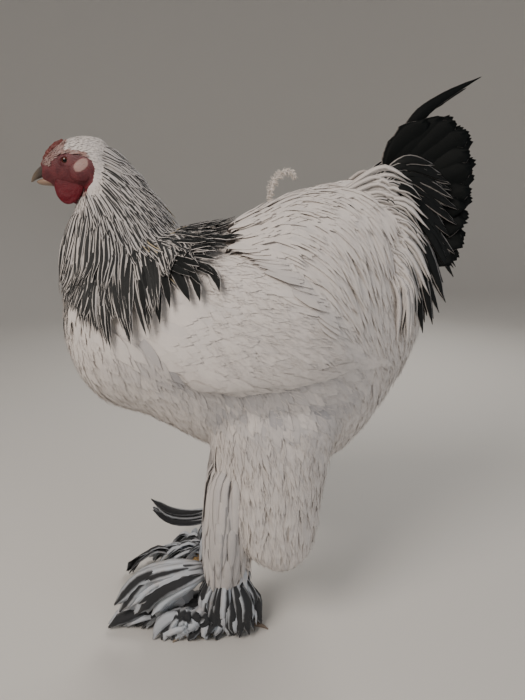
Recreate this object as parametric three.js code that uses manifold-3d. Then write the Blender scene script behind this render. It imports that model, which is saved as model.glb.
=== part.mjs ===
// A brahma cockerel standing still, at life size, in millimetres. +Z is up, the bill points along -X
// and the bird's left side faces -Y. The middle of the bird is the plane Y = 0.
import * as THREE from "three";
import { mergeVertices } from "three/addons/utils/BufferGeometryUtils.js";
import Module from "manifold-3d";

const wasm = await Module();
wasm.setup();

// Driving dimensions
const JOINT_GAP = 0.3; // clear space between two parts that touch
const VANE_THICKNESS = 0.9;
const TAIL_VANE_THICKNESS = 1.1;
const MIDDLE_SHIFT = { x: 11, y: -3 }; // brings the middle of the whole bird over the origin
const EYE_PLACE = { x: -224.5, y: 14.2, z: 589.5 };
const EYE_RADIUS = 5.8;
const LID_Y = 17.9; // how far out from the middle of the head the rings of lid lie
const WING_DEPTH = 8; // how deep the wing lies in the coat of the flank
const WING_PROUD = 3; // how far it stands out of it
const SHANK_FOOT_LEVEL = 68; // height of the joint between the shank's feathers and the foot's
const LEGS = {
  left: { side: -1, ankleX: -44, footY: 63, hockX: -22, hockY: 72, thighShift: 0 },
  right: { side: 1, ankleX: -60, footY: 66, hockX: -34, hockY: 73, thighShift: 6 },
};

// Colours and finishes
const finish = (color, roughness) => new THREE.MeshStandardMaterial({ color, roughness, metalness: 0 });
const WHITE_COAT = finish(0xd9d2c8, 0.9);
const STRIPED_COAT = finish(0x8f8b86, 0.85);
const BLACK_COAT = finish(0x17191a, 0.5);
const RED_SKIN = finish(0xa52a30, 0.55);
const PALE_LOBE = finish(0xd9aaa4, 0.6);
const HORN = finish(0x6b6352, 0.4);
const SCALES = finish(0xc9a24a, 0.6);
const EYE = finish(0x3a1a10, 0.1);

const vec = (x, y, z) => new THREE.Vector3(x, y, z);
const clamp = THREE.MathUtils.clamp;
const radians = THREE.MathUtils.degToRad;

// A repeatable stream of small random numbers between -1 and 1.
let seed = 7;
function jitter(size = 1) {
  seed = (seed * 16807) % 2147483647;
  return size * ((seed / 2147483647) * 2 - 1);
}

// Solids from points and triangles, with the faces turned outwards
function solidFrom(points, triangles) {
  let volume = 0;
  for (const [a, b, c] of triangles)
    volume += points[a].dot(new THREE.Vector3().crossVectors(points[b], points[c]));
  const faces = volume < 0 ? triangles.map(([a, b, c]) => [a, c, b]) : triangles;
  const mesh = new wasm.Mesh({
    numProp: 3,
    vertProperties: new Float32Array(points.flatMap((p) => [p.x, p.y, p.z])),
    triVerts: new Uint32Array(faces.flat()),
  });
  return new wasm.Manifold(mesh);
}

function solidOfGeometry(geometry) {
  const bare = geometry.clone();
  bare.deleteAttribute("normal");
  bare.deleteAttribute("uv");
  const merged = mergeVertices(bare, 1e-4);
  const at = merged.getAttribute("position");
  const points = [];
  for (let i = 0; i < at.count; i++) points.push(vec(at.getX(i), at.getY(i), at.getZ(i)));
  const corners = [...merged.index.array];
  const triangles = [];
  for (let i = 0; i < corners.length; i += 3) {
    const [a, b, c] = corners.slice(i, i + 3);
    if (a !== b && b !== c && c !== a) triangles.push([a, b, c]);
  }
  return solidFrom(points, triangles);
}

const SMALLEST_EDGE = 0.2; // shorter edges are merged after a union or a cut

// One closed body: the pieces joined and the cutters taken away, with any loose scrap dropped.
function body(pieces, cutters = []) {
  let solid = wasm.Manifold.union(pieces);
  for (const cutter of cutters) solid = solid.subtract(cutter);
  const parts = solid.simplify(SMALLEST_EDGE).decompose();
  return parts.reduce((best, part) => (part.volume() > best.volume() ? part : best));
}

function above(solid, normal, point, gap = JOINT_GAP / 2) {
  const n = normal.clone().normalize();
  return solid.trimByPlane([n.x, n.y, n.z], n.dot(point) + gap);
}

// A ball whose every vertex is moved by a function of its unit direction
function mapBall(place, around, along) {
  const geometry = new THREE.SphereGeometry(1, around, along);
  geometry.rotateX(Math.PI / 2);
  const bare = geometry.clone();
  bare.deleteAttribute("normal");
  bare.deleteAttribute("uv");
  const merged = mergeVertices(bare, 1e-5);
  const at = merged.getAttribute("position");
  for (let i = 0; i < at.count; i++) {
    const moved = place(vec(at.getX(i), at.getY(i), at.getZ(i)));
    at.setXYZ(i, moved.x, moved.y, moved.z);
  }
  return solidOfGeometry(merged);
}

function ellipsoid(centre, radii, turn = vec(0, 0, 0), around = 10, along = 7) {
  const turned = new THREE.Euler(radians(turn.x), radians(turn.y), radians(turn.z));
  return mapBall((u) => u.multiply(radii).applyEuler(turned).add(centre), around, along);
}

// A value that runs smoothly through the stations' values
function smoothValue(stations, key, at) {
  const last = stations.length - 1;
  if (at <= stations[0].at) return stations[0][key];
  if (at >= stations[last].at) return stations[last][key];
  let i = 0;
  while (stations[i + 1].at < at) i++;
  const slope = (a, b) => (stations[b][key] - stations[a][key]) / (stations[b].at - stations[a].at);
  const span = stations[i + 1].at - stations[i].at;
  const t = (at - stations[i].at) / span;
  const m0 = slope(Math.max(i - 1, 0), i + 1) * span;
  const m1 = slope(i, Math.min(i + 2, last)) * span;
  const v0 = stations[i][key];
  const v1 = stations[i + 1][key];
  const tt = t * t;
  const ttt = tt * t;
  const values = v0 * (2 * ttt - 3 * tt + 1) + v1 * (3 * tt - 2 * ttt);
  return values + m0 * (ttt - 2 * tt + t) + m1 * (ttt - tt);
}

const stationsOf = (keys, rows) =>
  rows.map((row) => Object.fromEntries(keys.map((key, i) => [key, row[i]])));

// A rounded body of rings stacked along one axis: "x" for rings that stand across the bird, "z" for
// level ones. A station gives the ring's lowest and highest value on the other of those two axes, its
// half width in Y, and y, the middle of that width. The ends are rounded over the cap lengths.
class Form {
  constructor(axis, stations, caps, power = 2.2) {
    Object.assign(this, { axis, stations, caps, power });
    this.from = stations[0].at;
    this.to = stations[stations.length - 1].at;
  }

  ring(at, grow = 0) {
    const read = (key) => smoothValue(this.stations, key, at);
    const start = clamp((at - this.from + grow) / (this.caps[0] + grow), 0, 1);
    const end = clamp((this.to - at + grow) / (this.caps[1] + grow), 0, 1);
    const round = (share) => Math.sqrt(1 - (1 - share) ** 2);
    const size = round(start) * round(end);
    const low = read("low");
    const high = read("high");
    return {
      middle: (low + high) / 2,
      y: "y" in this.stations[0] ? read("y") : 0,
      half: ((high - low) / 2 + grow) * size,
      wide: (read("wide") + grow) * size,
    };
  }

  place(at, middle, y) {
    return this.axis === "x" ? vec(at, y, middle) : vec(middle, y, at);
  }

  // A point of the surface: the turn is 0 at the ring's high end and half a circle at its low end, on
  // the left of the bird for side -1 and on the right for side 1.
  point(at, turn, side = 1, grow = 0) {
    const r = this.ring(at, grow);
    const bend = (v) => Math.sign(v) * Math.abs(v) ** (2 / this.power);
    const middle = r.middle + r.half * bend(Math.cos(turn));
    return this.place(at, middle, r.y + side * r.wide * bend(Math.sin(turn)));
  }

  solid(around, along, grow = 0) {
    const from = this.from - grow;
    const to = this.to + grow;
    return mapBall(
      (u) => {
        const at = (from + to) / 2 - (u.z * (to - from)) / 2;
        const radius = Math.hypot(u.x, u.y);
        if (radius < 1e-6) return this.place(at, this.ring(at, grow).middle, this.ring(at, grow).y);
        return this.point(at, Math.atan2(u.y, u.x), 1, grow);
      },
      around,
      along,
    );
  }
}

// The way a row of stations runs at one of them
function wayAlong(stations, i) {
  const before = stations[Math.max(i - 1, 0)].point;
  const after = stations[Math.min(i + 1, stations.length - 1)].point;
  return after.clone().sub(before).normalize();
}

// A round limb through a row of points, each with a radius across and a radius upright
function limb(stations, around = 8) {
  const points = [];
  const last = stations.length - 1;
  stations.forEach((s, i) => {
    const along = wayAlong(stations, i);
    const aside = Math.abs(along.z) > 0.9 ? vec(0, 1, 0) : vec(0, 0, 1).cross(along).normalize();
    const upright = new THREE.Vector3().crossVectors(along, aside).normalize();
    for (let k = 0; k < around; k++) {
      const turn = (2 * Math.PI * (k + 0.5)) / around;
      const p = s.point.clone().addScaledVector(aside, s.across * Math.cos(turn));
      points.push(p.addScaledVector(upright, s.upright * Math.sin(turn)));
    }
  });
  points.push(stations[0].point.clone(), stations[last].point.clone());
  const [startPole, endPole] = [points.length - 2, points.length - 1];
  const triangles = [];
  for (let k = 0; k < around; k++) {
    const next = (k + 1) % around;
    triangles.push([startPole, next, k], [endPole, last * around + k, last * around + next]);
    for (let i = 0; i < last; i++) {
      const a = i * around;
      const b = a + around;
      triangles.push([a + k, a + next, b + next], [a + k, b + next, b + k]);
    }
  }
  return solidFrom(points, triangles);
}

// A feather's vane: a thin bent plate. Each station has its middle point, the way out from the body
// and its half width. Both faces are split along the same diagonals.
function vane(stations, thickness = VANE_THICKNESS) {
  const points = [];
  const last = stations.length - 1;
  stations.forEach((s, i) => {
    const along = wayAlong(stations, i);
    const across = new THREE.Vector3().crossVectors(along, s.out).normalize();
    const out = new THREE.Vector3().crossVectors(across, along).normalize();
    for (const [a, o] of [[-1, -0.5], [1, -0.5], [1, 0.5], [-1, 0.5]])
      points.push(s.point.clone().addScaledVector(across, a * s.half).addScaledVector(out, o * thickness));
  });
  const triangles = [[0, 1, 2], [0, 2, 3]];
  const end = 4 * last;
  triangles.push([end, end + 2, end + 1], [end, end + 3, end + 2]);
  for (let i = 0; i < last; i++) {
    const a = 4 * i;
    const b = a + 4;
    triangles.push([a, b, b + 1], [a, b + 1, a + 1]);
    triangles.push([a + 1, b + 1, b + 2], [a + 1, b + 2, a + 2]);
    triangles.push([a + 3, a + 2, b + 2], [a + 3, b + 2, b + 3]);
    triangles.push([a, a + 3, b + 3], [a, b + 3, b]);
  }
  return solidFrom(points, triangles);
}

// Half widths along a vane, as shares of its greatest half width
const VANE_SHAPES = {
  pointed: [0.5, 0.95, 0.95, 0.14],
  rounded: [0.5, 0.95, 1, 0.4],
  broad: [0.4, 0.9, 1, 0.85, 0.3],
  sickle: [0.5, 0.9, 1, 0.85, 0.5, 0.1],
};

// The surface that feathers are laid on
class Skin {
  constructor(solid) {
    const mesh = solid.getMesh();
    const place = (i) => vec(...mesh.vertProperties.slice(i * mesh.numProp, i * mesh.numProp + 3));
    const points = Array.from({ length: mesh.vertProperties.length / mesh.numProp }, (_, i) => place(i));
    const outs = points.map(() => vec(0, 0, 0));
    this.faces = [];
    for (let i = 0; i < mesh.triVerts.length; i += 3) {
      const corners = [...mesh.triVerts.slice(i, i + 3)];
      const face = new THREE.Triangle(...corners.map((c) => points[c]));
      const out = face.getNormal(vec(0, 0, 0)).multiplyScalar(face.getArea());
      for (const c of corners) outs[c].add(out);
      const centre = face.getMidpoint(vec(0, 0, 0));
      const reach = Math.max(...corners.map((c) => points[c].distanceTo(centre)));
      this.faces.push({ face, centre, reach, outs: corners.map((c) => outs[c]) });
    }
    for (const out of outs) out.normalize();
  }

  closest(p) {
    let best = null;
    let distance = Infinity;
    const at = vec(0, 0, 0);
    for (const entry of this.faces) {
      if (p.distanceTo(entry.centre) - entry.reach > distance) continue;
      entry.face.closestPointToPoint(p, at);
      const d = p.distanceTo(at);
      if (d < distance) {
        distance = d;
        best = { entry, point: at.clone() };
      }
    }
    const share = best.entry.face.getBarycoord(best.point, vec(0, 0, 0));
    const out = vec(0, 0, 0);
    best.entry.outs.forEach((n, i) => out.addScaledVector(n, share.getComponent(i)));
    return { point: best.point, out: out.normalize() };
  }
}

const CLEAR_LIFT = 2.6; // height of a laid vane over the skin once its root is out of it

// Lays one feather on a skin, from a start near it, the way the flow points.
function layFeather(skin, start, flow, options, extra = 0) {
  const { length, width, shape = "rounded", sink = 3, thickness = VANE_THICKNESS } = options;
  const rise = options.rise ?? 5;
  const shares = VANE_SHAPES[shape];
  const last = shares.length - 1;
  const step = length / last;
  const stations = [];
  let at = skin.closest(start);
  shares.forEach((share, i) => {
    const laid = CLEAR_LIFT + ((rise - CLEAR_LIFT) * (i - 1)) / (last - 1) + (extra * i) / last;
    const lift = i === 0 ? -sink : laid;
    stations.push({
      point: at.point.clone().addScaledVector(at.out, lift),
      out: at.out.clone(),
      half: (share * width) / 2,
    });
    const way = flow(at.point).clone();
    way.addScaledVector(at.out, -way.dot(at.out)).normalize();
    at = skin.closest(at.point.clone().addScaledVector(way, step));
  });
  return { solid: vane(stations, thickness), room: vane(stations, thickness + 2 * JOINT_GAP) };
}

// Lays a feather as low as it can lie clear of the other parts, or leaves it out where it can't.
function layClear(skin, start, flow, options, others) {
  for (let extra = 0; extra <= 15; extra += 1.5) {
    const { solid, room } = layFeather(skin, start, flow, options, extra);
    if (others.every((other) => room.intersect(other).volume() < 1e-3)) return [solid];
  }
  return [];
}

// Trunk: the outline of the coat from the breast to the fluff under the tail
const trunk = new Form(
  "x",
  stationsOf(["at", "low", "high", "wide"], [
    [-246, 322, 478, 76],
    [-207, 302, 498, 95],
    [-181, 290, 508, 103],
    [-131, 276, 516, 113],
    [-84, 248, 515, 117],
    [-30, 226, 523, 119],
    [20, 212, 546, 116],
    [60, 208, 558, 108],
    [90, 220, 567, 94],
    [120, 250, 573, 78],
    [150, 296, 568, 60],
    [180, 350, 548, 46],
    [204, 392, 515, 34],
  ]),
  [62, 34],
);
const neckForm = new Form(
  "z",
  stationsOf(["at", "low", "high", "wide"], [
    [385, -240, -110, 76],
    [440, -244, -92, 80],
    [470, -243, -90, 72],
    [500, -241, -97, 61],
    [525, -234, -108, 50],
    [545, -226, -122, 40],
    [568, -216, -140, 32],
    [586, -214, -156, 27],
    [602, -216, -168, 23],
    [616, -222, -182, 17],
  ]),
  [40, 16],
);
const headForm = new Form(
  "x",
  stationsOf(["at", "low", "high", "wide"], [
    [-260, 567, 588, 7],
    [-250, 563, 597, 11],
    [-240, 560, 605, 14.5],
    [-226, 557, 612, 18.5],
    [-210, 555, 615, 21],
    [-190, 555, 613, 22],
    [-175, 562, 605, 18],
  ]),
  [8, 14],
);
// Cutting planes between trunk, neck and face
const NECK_PLANE = { normal: vec(-80, 0, 170), point: vec(-80, 0, 520) };
const FACE_PLANE = { normal: vec(-57, 0, -26), point: vec(-209, 0, 590) };
const BACK_PLANE = { normal: vec(0.06, 0, 1), point: vec(0, 0, 442) };
const TAIL_PLANE = { normal: vec(0.93, 0, 0.37), point: vec(142, 0, 560) };

const trunkSolid = (grow = 0) => trunk.solid(22, 14, grow);
const headSolid = (grow = 0) => headForm.solid(16, 12, grow);
const neckSolid = (grow = 0) => neckForm.solid(18, 12, grow);
const upright = wasm.Manifold.union([trunkSolid(), neckSolid(), headSolid()]).simplify(SMALLEST_EDGE);

const isAbove = (solid, plane, gap) => above(solid, plane.normal, plane.point, gap);
const isBelow = (solid, plane, gap) => above(solid, plane.normal.clone().negate(), plane.point, gap);
const SIDES = { left: -1, right: 1 };

const groups = {};
const add = (name, solid, material) => (groups[name] = { solid, material });

// Wings: a leaf-shaped plate let into each side of the trunk
const WING_OUTLINE = [
  [-142, 424], [-122, 462], [-82, 486], [-32, 490], [14, 468], [54, 436], [84, 402], [104, 374],
  [74, 362], [36, 355], [-14, 350], [-62, 346], [-104, 364], [-132, 392],
];
function wingPrism(side, grow = 0) {
  const middle = new THREE.Vector2(-20, 415);
  const corners = WING_OUTLINE.map(([x, z]) => {
    const p = new THREE.Vector2(x, z);
    return p.add(p.clone().sub(middle).setLength(grow));
  });
  const curve = new THREE.SplineCurve([...corners, corners[0].clone()]);
  const outline = new THREE.Shape(curve.getPoints(18).slice(0, -1));
  const geometry = new THREE.ExtrudeGeometry(outline, { depth: 150, bevelEnabled: false });
  geometry.rotateX(Math.PI / 2);
  geometry.translate(0, side < 0 ? -30 : 180, 0);
  return solidOfGeometry(geometry);
}
const wingCores = {};
for (const [name, side] of Object.entries(SIDES))
  wingCores[name] = body([trunkSolid(WING_PROUD).intersect(wingPrism(side))], [trunkSolid(-WING_DEPTH)]);
const wingHoles = Object.values(SIDES).map((side) =>
  wingPrism(side, JOINT_GAP).subtract(trunkSolid(-WING_DEPTH - JOINT_GAP)),
);

// Neck and hackle: each row starts a set height over the neck's cutting plane
const neckPlaneHeight = (x) => NECK_PLANE.point.z + ((x - NECK_PLANE.point.x) * 80) / 170;
function neckRoot(height, turn, side) {
  let p = neckForm.point(560, turn, side);
  for (let i = 0; i < 8; i++) p = neckForm.point(clamp(neckPlaneHeight(p.x) + height, 440, 610), turn, side);
  return p;
}
const HACKLE_ROWS = [
  { height: 104, count: 4, length: 60, width: 17, reach: 1.9 },
  { height: 78, count: 5, length: 76, width: 18, reach: 2.2 },
  { height: 54, count: 5, length: 88, width: 20, reach: 2.35 },
  { height: 31, count: 5, length: 98, width: 23, reach: 2.35 },
];
function hackle(skin, others) {
  const vanes = [];
  HACKLE_ROWS.forEach((row, r) => {
    for (const side of [-1, 1])
      for (let i = 0; i < row.count; i++) {
        const turn = ((i + (r % 2 ? 0.55 : 0.25)) / row.count) * row.reach;
        const root = neckRoot(row.height + jitter(2), turn, side);
        const length = row.length + jitter(5);
        const options = { length, width: row.width, shape: "pointed", rise: 9 + (i % 2) };
        vanes.push(...layClear(skin, root, () => vec(0.14, 0, -1), options, others));
      }
  });
  return vanes;
}

// Cape: the broad feathers behind the neck and over the shoulders
function cape(skin, others) {
  const vanes = [];
  [-86, -60].forEach((x, r) => {
    for (const side of [-1, 1])
      for (let i = 0; i < 3; i++) {
        const turn = ((i + (r ? 0.55 : 0.2)) / 3) * 0.9;
        const options = { length: 62 + jitter(4), width: 28, rise: 4.5 + (i % 2) };
        const root = trunk.point(x, turn, side);
        vanes.push(...layClear(skin, root, () => vec(0.85, 0, -0.5), options, others));
      }
  });
  return vanes;
}

// Saddle hackle: narrow feathers that run back, then ever more down over the wings and the fluff
const saddleFlow = (p) => vec(1 - clamp(p.x / 130, 0, 0.8), 0, -0.5 - clamp(p.x / 200, 0, 0.6));
function saddleHackle(skin, others) {
  const vanes = [];
  [-6, 26, 58, 90].forEach((x, r) => {
    for (const side of [-1, 1])
      for (let i = 0; i < 4; i++) {
        const turn = ((i + (r % 2 ? 0.55 : 0.2)) / 4) * 1.0;
        const options = { length: 88 + jitter(6), width: 20, shape: "pointed", rise: 7 + (i % 2) };
        vanes.push(...layClear(skin, trunk.point(x, turn, side), saddleFlow, options, others));
      }
  });
  return vanes;
}

// Wing feathers: tiers that all run towards the wing's tip
const WING_TIERS = [
  { x: -106, low: 388, high: 452, count: 3, length: 52, width: 20, rise: 6 },
  { x: -72, low: 366, high: 462, count: 4, length: 60, width: 21, rise: 5 },
  { x: -34, low: 360, high: 464, count: 4, length: 72, width: 24, rise: 4.4 },
  { x: 6, low: 362, high: 438, count: 3, length: 84, width: 23, rise: 3.6 },
];
function wingFeathers(side, skin) {
  const vanes = [];
  for (const tier of WING_TIERS)
    for (let i = 0; i < tier.count; i++) {
      const z = tier.low + ((i + 0.5) / tier.count) * (tier.high - tier.low);
      const options = { length: tier.length + jitter(3), width: tier.width, rise: tier.rise + i * 1.2 };
      const root = vec(tier.x + jitter(2), side * 125, z);
      vanes.push(layFeather(skin, root, (p) => vec(230 - p.x, 0, 350 - p.z), options).solid);
    }
  return vanes;
}

// Tail: paths in the side view, set apart across the bird so that they stand like a tent
function tailFeather(side, path, { y, width, shape = "broad", lean = 0.25 }) {
  const shares = VANE_SHAPES[shape];
  const last = path.length - 1;
  const spread = (i) => y[0] + (i / last) * (y[1] - y[0]);
  const curve = new THREE.CatmullRomCurve3(path.map(([x, z], i) => vec(x, spread(i), z)));
  const out = vec(0, 1, lean).normalize();
  const stations = shares.map((share, i) => {
    const p = curve.getPointAt(i / (shares.length - 1));
    return { point: vec(p.x, side * p.y, p.z), out: vec(0, side * out.y, out.z), half: (share * width) / 2 };
  });
  return vane(stations, TAIL_VANE_THICKNESS);
}
const MAIN_TIPS = [[216, 648], [236, 622], [249, 586], [249, 546], [243, 505], [233, 466]];
const COVERT_TIPS = [[214, 566], [229, 528], [229, 488], [222, 448], [213, 410]];
function tailFeathers() {
  const vanes = [];
  for (const side of [-1, 1]) {
    MAIN_TIPS.forEach(([x, z], i) => {
      const root = [160 + i * 4.8, 556 - i * 12];
      const middle = [(root[0] + x) / 2 - 6 + i, (root[1] + z) / 2 + 5];
      vanes.push(tailFeather(side, [root, middle, [x, z]], { y: [4 + i * 2.8, 7 + i * 6.5], width: 33 }));
    });
    COVERT_TIPS.forEach(([x, z], i) => {
      const root = [158 + i * 8, 545 - i * 19];
      const middle = [(root[0] + x) / 2, (root[1] + z) / 2 + 10];
      const options = { y: [26 - i * 1.5, 50 - i], width: 25, shape: "rounded" };
      vanes.push(tailFeather(side, [root, middle, [x, z]], options));
    });
    const tip = side < 0 ? [243, 678] : [230, 668];
    const sickle = [[152, 562], [159, 606], [182, 642], [tip[0] - 28, tip[1] - 14], tip];
    vanes.push(tailFeather(side, sickle, { y: [2.2, 4], width: 19, shape: "sickle", lean: 0 }));
  }
  return vanes;
}

// Legs
function thighForm({ side, hockY, thighShift: s }) {
  const rows = [
    [96, 4, 46, 16, 10], [116, -14, 58, 28, 8], [148, -40, 68, 38, 4], [190, -58, 73, 43, 2],
    [230, -60, 78, 47, 0], [266, -64, 88, 50, -4], [300, -72, 94, 52, -8], [330, -70, 90, 46, -12],
  ];
  const keys = ["at", "low", "high", "wide", "y"];
  const placed = rows.map(([z, a, b, w, y]) => [z, a + s, b + 2 * s, w, side * (y + hockY)]);
  return new Form("z", stationsOf(keys, placed), [34, 30], 2);
}
// Shank: the mass of feathers round the bone, from the hock down to the toes
function shankForm({ side, ankleX, footY, hockX, hockY }) {
  const rows = [
    [14, -11, 11, 10], [34, -14, 15, 13], [68, -20, 22, 17],
    [112, -25, 28, 21], [150, -32, 34, 24], [178, -30, 38, 24],
  ];
  const keys = ["at", "low", "high", "wide", "y"];
  const placed = rows.map(([z, a, b, w]) => {
    const share = (z - 14) / (178 - 14);
    const x = ankleX + (hockX - ankleX) * share;
    return [z, x + a, x + b, w, side * (footY + (hockY - footY) * share)];
  });
  return new Form("z", stationsOf(keys, placed), [8, 24], 2);
}
const FLOOR = { normal: vec(0, 0, 1), point: vec(0, 0, 0) };

// Toes: how far each one's joints lie from the ankle, and its heading from straight ahead, outwards
const TOES = {
  middle: { heading: -6, reach: 78, radius: 8 },
  inner: { heading: -38, reach: 56, radius: 7.2 },
  outer: { heading: 26, reach: 62, radius: 7.2 },
  hind: { heading: 166, reach: 36, radius: 6.6 },
};
const heading = (side, degrees) => vec(-Math.cos(radians(degrees)), side * Math.sin(radians(degrees)), 0);
function toeStations({ side, ankleX, footY }, { heading: turn, reach, radius }) {
  const ankle = vec(ankleX, side * footY, 0);
  const way = heading(side, turn);
  const rows = [
    [0.02, 17, 0.95], [0.25, 9.5, 1.1], [0.45, 7, 0.95], [0.66, 7.4, 1.05], [0.84, 6, 0.86], [1, 5.8, 0.66],
  ];
  return rows.map(([share, z, size]) => {
    const r = radius * size;
    const point = ankle.clone().addScaledVector(way, share * reach);
    return { point: point.setZ(Math.max((z * radius) / 8, r - 0.5)), across: r, upright: r };
  });
}
function toeClaw(leg, toe, grow = 0) {
  const joints = toeStations(leg, toe);
  const end = joints[joints.length - 1].point;
  const way = heading(leg.side, toe.heading);
  const rows = [[-2, end.z + 0.6, 3.4], [5, end.z + 0.8, 3], [11.5, 3.6, 2], [17, 0.5, 0.8]];
  const stations = rows.map(([out, z, r]) => ({
    point: end.clone().addScaledVector(way, out).setZ(z),
    across: r + grow,
    upright: r + grow,
  }));
  return isAbove(limb(stations, 6), FLOOR, 0);
}
// Foot feathers: those of the toes lie forwards and outwards near the floor, those of the shank hang
// over them to the floor and turn out at their tips
const TOE_FAN = [
  { from: 0.74, toe: "middle", turn: -13, length: 102, top: 9 },
  { from: 0.5, toe: "middle", turn: 7, length: 98, top: 11 },
  { from: 0.8, toe: "outer", turn: 24, length: 66, top: 8 },
  { from: 0.56, toe: "outer", turn: 48, length: 50, top: 8 },
  { from: 0.32, toe: "outer", turn: 76, length: 44, top: 8 },
];
const FOOT_SKIRT = [
  { level: 58, count: 2, first: -24, step: 42, length: 38, flare: 22 },
  { level: 58, count: 3, first: 64, step: 44, length: 60, flare: 24 },
];
function footFeathers(leg) {
  const ankle = vec(leg.ankleX, leg.side * leg.footY, 0);
  const fan = TOE_FAN.map(({ from, toe, turn, length, top }) => {
    const root = ankle.clone().addScaledVector(heading(leg.side, TOES[toe].heading), from * TOES[toe].reach);
    const way = heading(leg.side, turn);
    const shares = VANE_SHAPES.rounded;
    const stations = shares.map((share, i) => {
      const s = i / (shares.length - 1);
      const bow = Math.PI * (Math.min(0.5, s * 1.4) + 0.42 * Math.max(0, s - 0.36));
      const z = 8 + top * Math.sin(bow) - 6 * s * s;
      const point = root.clone().addScaledVector(way, s * length).setZ(z);
      return { point, out: vec(0, 0, 1), half: share * 10 };
    });
    return vane(stations);
  });
  return [...fan, ...hangingFeathers(leg, FOOT_SKIRT)];
}

// Feathers rooted in the shank's form that hang down it, turned out by their flare at the tips
function hangingFeathers(leg, tiers) {
  const form = shankForm(leg);
  const vanes = [];
  for (const { level, count, first, step, length, flare } of tiers)
    for (let i = 0; i < count; i++) {
      const turn = radians(first + i * step);
      const way = heading(leg.side, first + i * step);
      const shares = VANE_SHAPES.rounded;
      const stations = shares.map((share, k) => {
        const s = k / (shares.length - 1);
        const z = level - length * s * (1 - 0.12 * s);
        const skin = form.point(Math.max(z, 40), Math.PI - turn, leg.side);
        const lift = k === 0 ? -4 : 1.8 + (i % 2) * 1.2 + flare * s ** 2;
        const point = skin.addScaledVector(way, lift).setZ(Math.max(z, 4));
        return { point, out: way.clone().setZ(0.35), half: share * 9 };
      });
      vanes.push(vane(stations));
    }
  return vanes;
}
const SHANK_TIERS = [
  { level: 146, count: 4, first: -70, step: 56, length: 62, flare: 6 },
  { level: 112, count: 3, first: -42, step: 66, length: 42, flare: 5 },
];

// The head's features
// Pea comb: three low ridges of small lumps on one base that follows the forehead
const COMB_PATH = [[-256, 589], [-250, 599], [-243, 605], [-236, 609], [-228, 611.5]];
const combPath = new THREE.CatmullRomCurve3(COMB_PATH.map(([x, z]) => vec(x, 0, z)));
const combBase = (grow) =>
  limb([0, 0.33, 0.67, 1].map((share) => {
    const across = 3.4 + 3.6 * Math.sin(Math.PI * (0.15 + 0.7 * share));
    return { point: combPath.getPointAt(share), across: across + grow, upright: 2.6 + grow };
  }), 7);
const combRoom = () => combBase(JOINT_GAP);
function combPieces() {
  const pieces = [combBase(0)];
  for (let i = 0; i < 4; i++) {
    const p = combPath.getPointAt(0.1 + i * 0.25);
    const turn = vec(0, -40 + 10 * i, 0);
    pieces.push(ellipsoid(p.clone().add(vec(-0.6, 0, 2.8)), vec(4.6, 2.6, 3.4), turn, 5, 4));
    if (i === 0) continue;
    for (const side of [-1, 1])
      pieces.push(ellipsoid(p.clone().add(vec(-3, side * 4.6, 1.6)), vec(3.8, 2.2, 2.6), turn, 5, 4));
  }
  return pieces;
}
// Face: a ring of lid round each eye, the ear behind it, the mouth's corner and the nostrils
const lid = (side) => {
  const geometry = new THREE.TorusGeometry(5.7, 1.3, 4, 12);
  geometry.rotateX(Math.PI / 2);
  geometry.rotateZ(side * radians(-14));
  geometry.translate(EYE_PLACE.x, side * LID_Y, EYE_PLACE.z);
  return solidOfGeometry(geometry);
};
const ear = (side) => ellipsoid(vec(-205, side * 22, 593.5), vec(2.6, 2.4, 2), vec(0, 0, 0), 6, 4);
const mouthCorner = (side) => ellipsoid(vec(-244, side * 13, 571.5), vec(6, 3, 0.6), vec(0, -12, 0), 6, 4);
const nostril = (side) =>
  ellipsoid(vec(-256.5, side * 7.6, 580.5), vec(2.4, 1.6, 0.9), vec(0, -20, 0), 6, 4);
const lobe = (side) =>
  ellipsoid(vec(-206.5, side * 18.2, 578.5), vec(13.5, 4.6, 11.5), vec(0, 20, 0), 10, 6);
const wattle = (side, grow = 0) =>
  mapBall((u) => {
    const hang = (1 - u.z) / 2;
    const p = vec(u.x * (20 + grow - 4 * hang), u.y * (4.6 + grow - 0.6 * hang), u.z * (19.5 + grow));
    return p.add(vec(-222 + hang * 1.5, side * (12.6 + hang * 5.6), 561));
  }, 10, 8);

const upperRows = [
  [-273, 565.5, 569, 1.2], [-268, 568.5, 577, 3.6], [-261, 571.5, 583.5, 6.2],
  [-253, 573, 588, 8.2], [-244, 574, 590, 8.6],
];
const lowerRows = [
  [-266.5, 565.8, 568, 1.6], [-261, 563.5, 570, 4.4], [-253, 562.5, 571.8, 6.6], [-244, 562, 572, 7.4],
];
const upperBeak = new Form("x", stationsOf(["at", "low", "high", "wide"], upperRows), [3, 3], 2);
const lowerBeak = new Form("x", stationsOf(["at", "low", "high", "wide"], lowerRows), [3, 3], 2);

// Nodes
const ANKLE_LEVEL = { normal: vec(0, 0, 1), point: vec(0, 0, SHANK_FOOT_LEVEL) };
const trunkBehind = isBelow(upright, TAIL_PLANE);
add("tail", body([isAbove(isBelow(upright, NECK_PLANE), TAIL_PLANE), ...tailFeathers()]), BLACK_COAT);
const wingSkin = new Skin(trunkSolid(WING_PROUD));
for (const [name, side] of Object.entries(SIDES))
  add(`wing_${name}`, body([wingCores[name], ...wingFeathers(side, wingSkin)]), WHITE_COAT);
const wings = () => [groups.wing_left.solid, groups.wing_right.solid];
const bodySkin = new Skin(upright);
const besideBack = [...wings(), groups.tail.solid];
add("torso", body([isBelow(isBelow(trunkBehind, NECK_PLANE), BACK_PLANE)], wingHoles), WHITE_COAT);
const trunkTop = isAbove(isBelow(trunkBehind, NECK_PLANE), BACK_PLANE);
const backCore = trunkTop.subtract(wasm.Manifold.union(wingHoles));
const backFeathers = [...cape(bodySkin, besideBack), ...saddleHackle(bodySkin, besideBack)];
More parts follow.
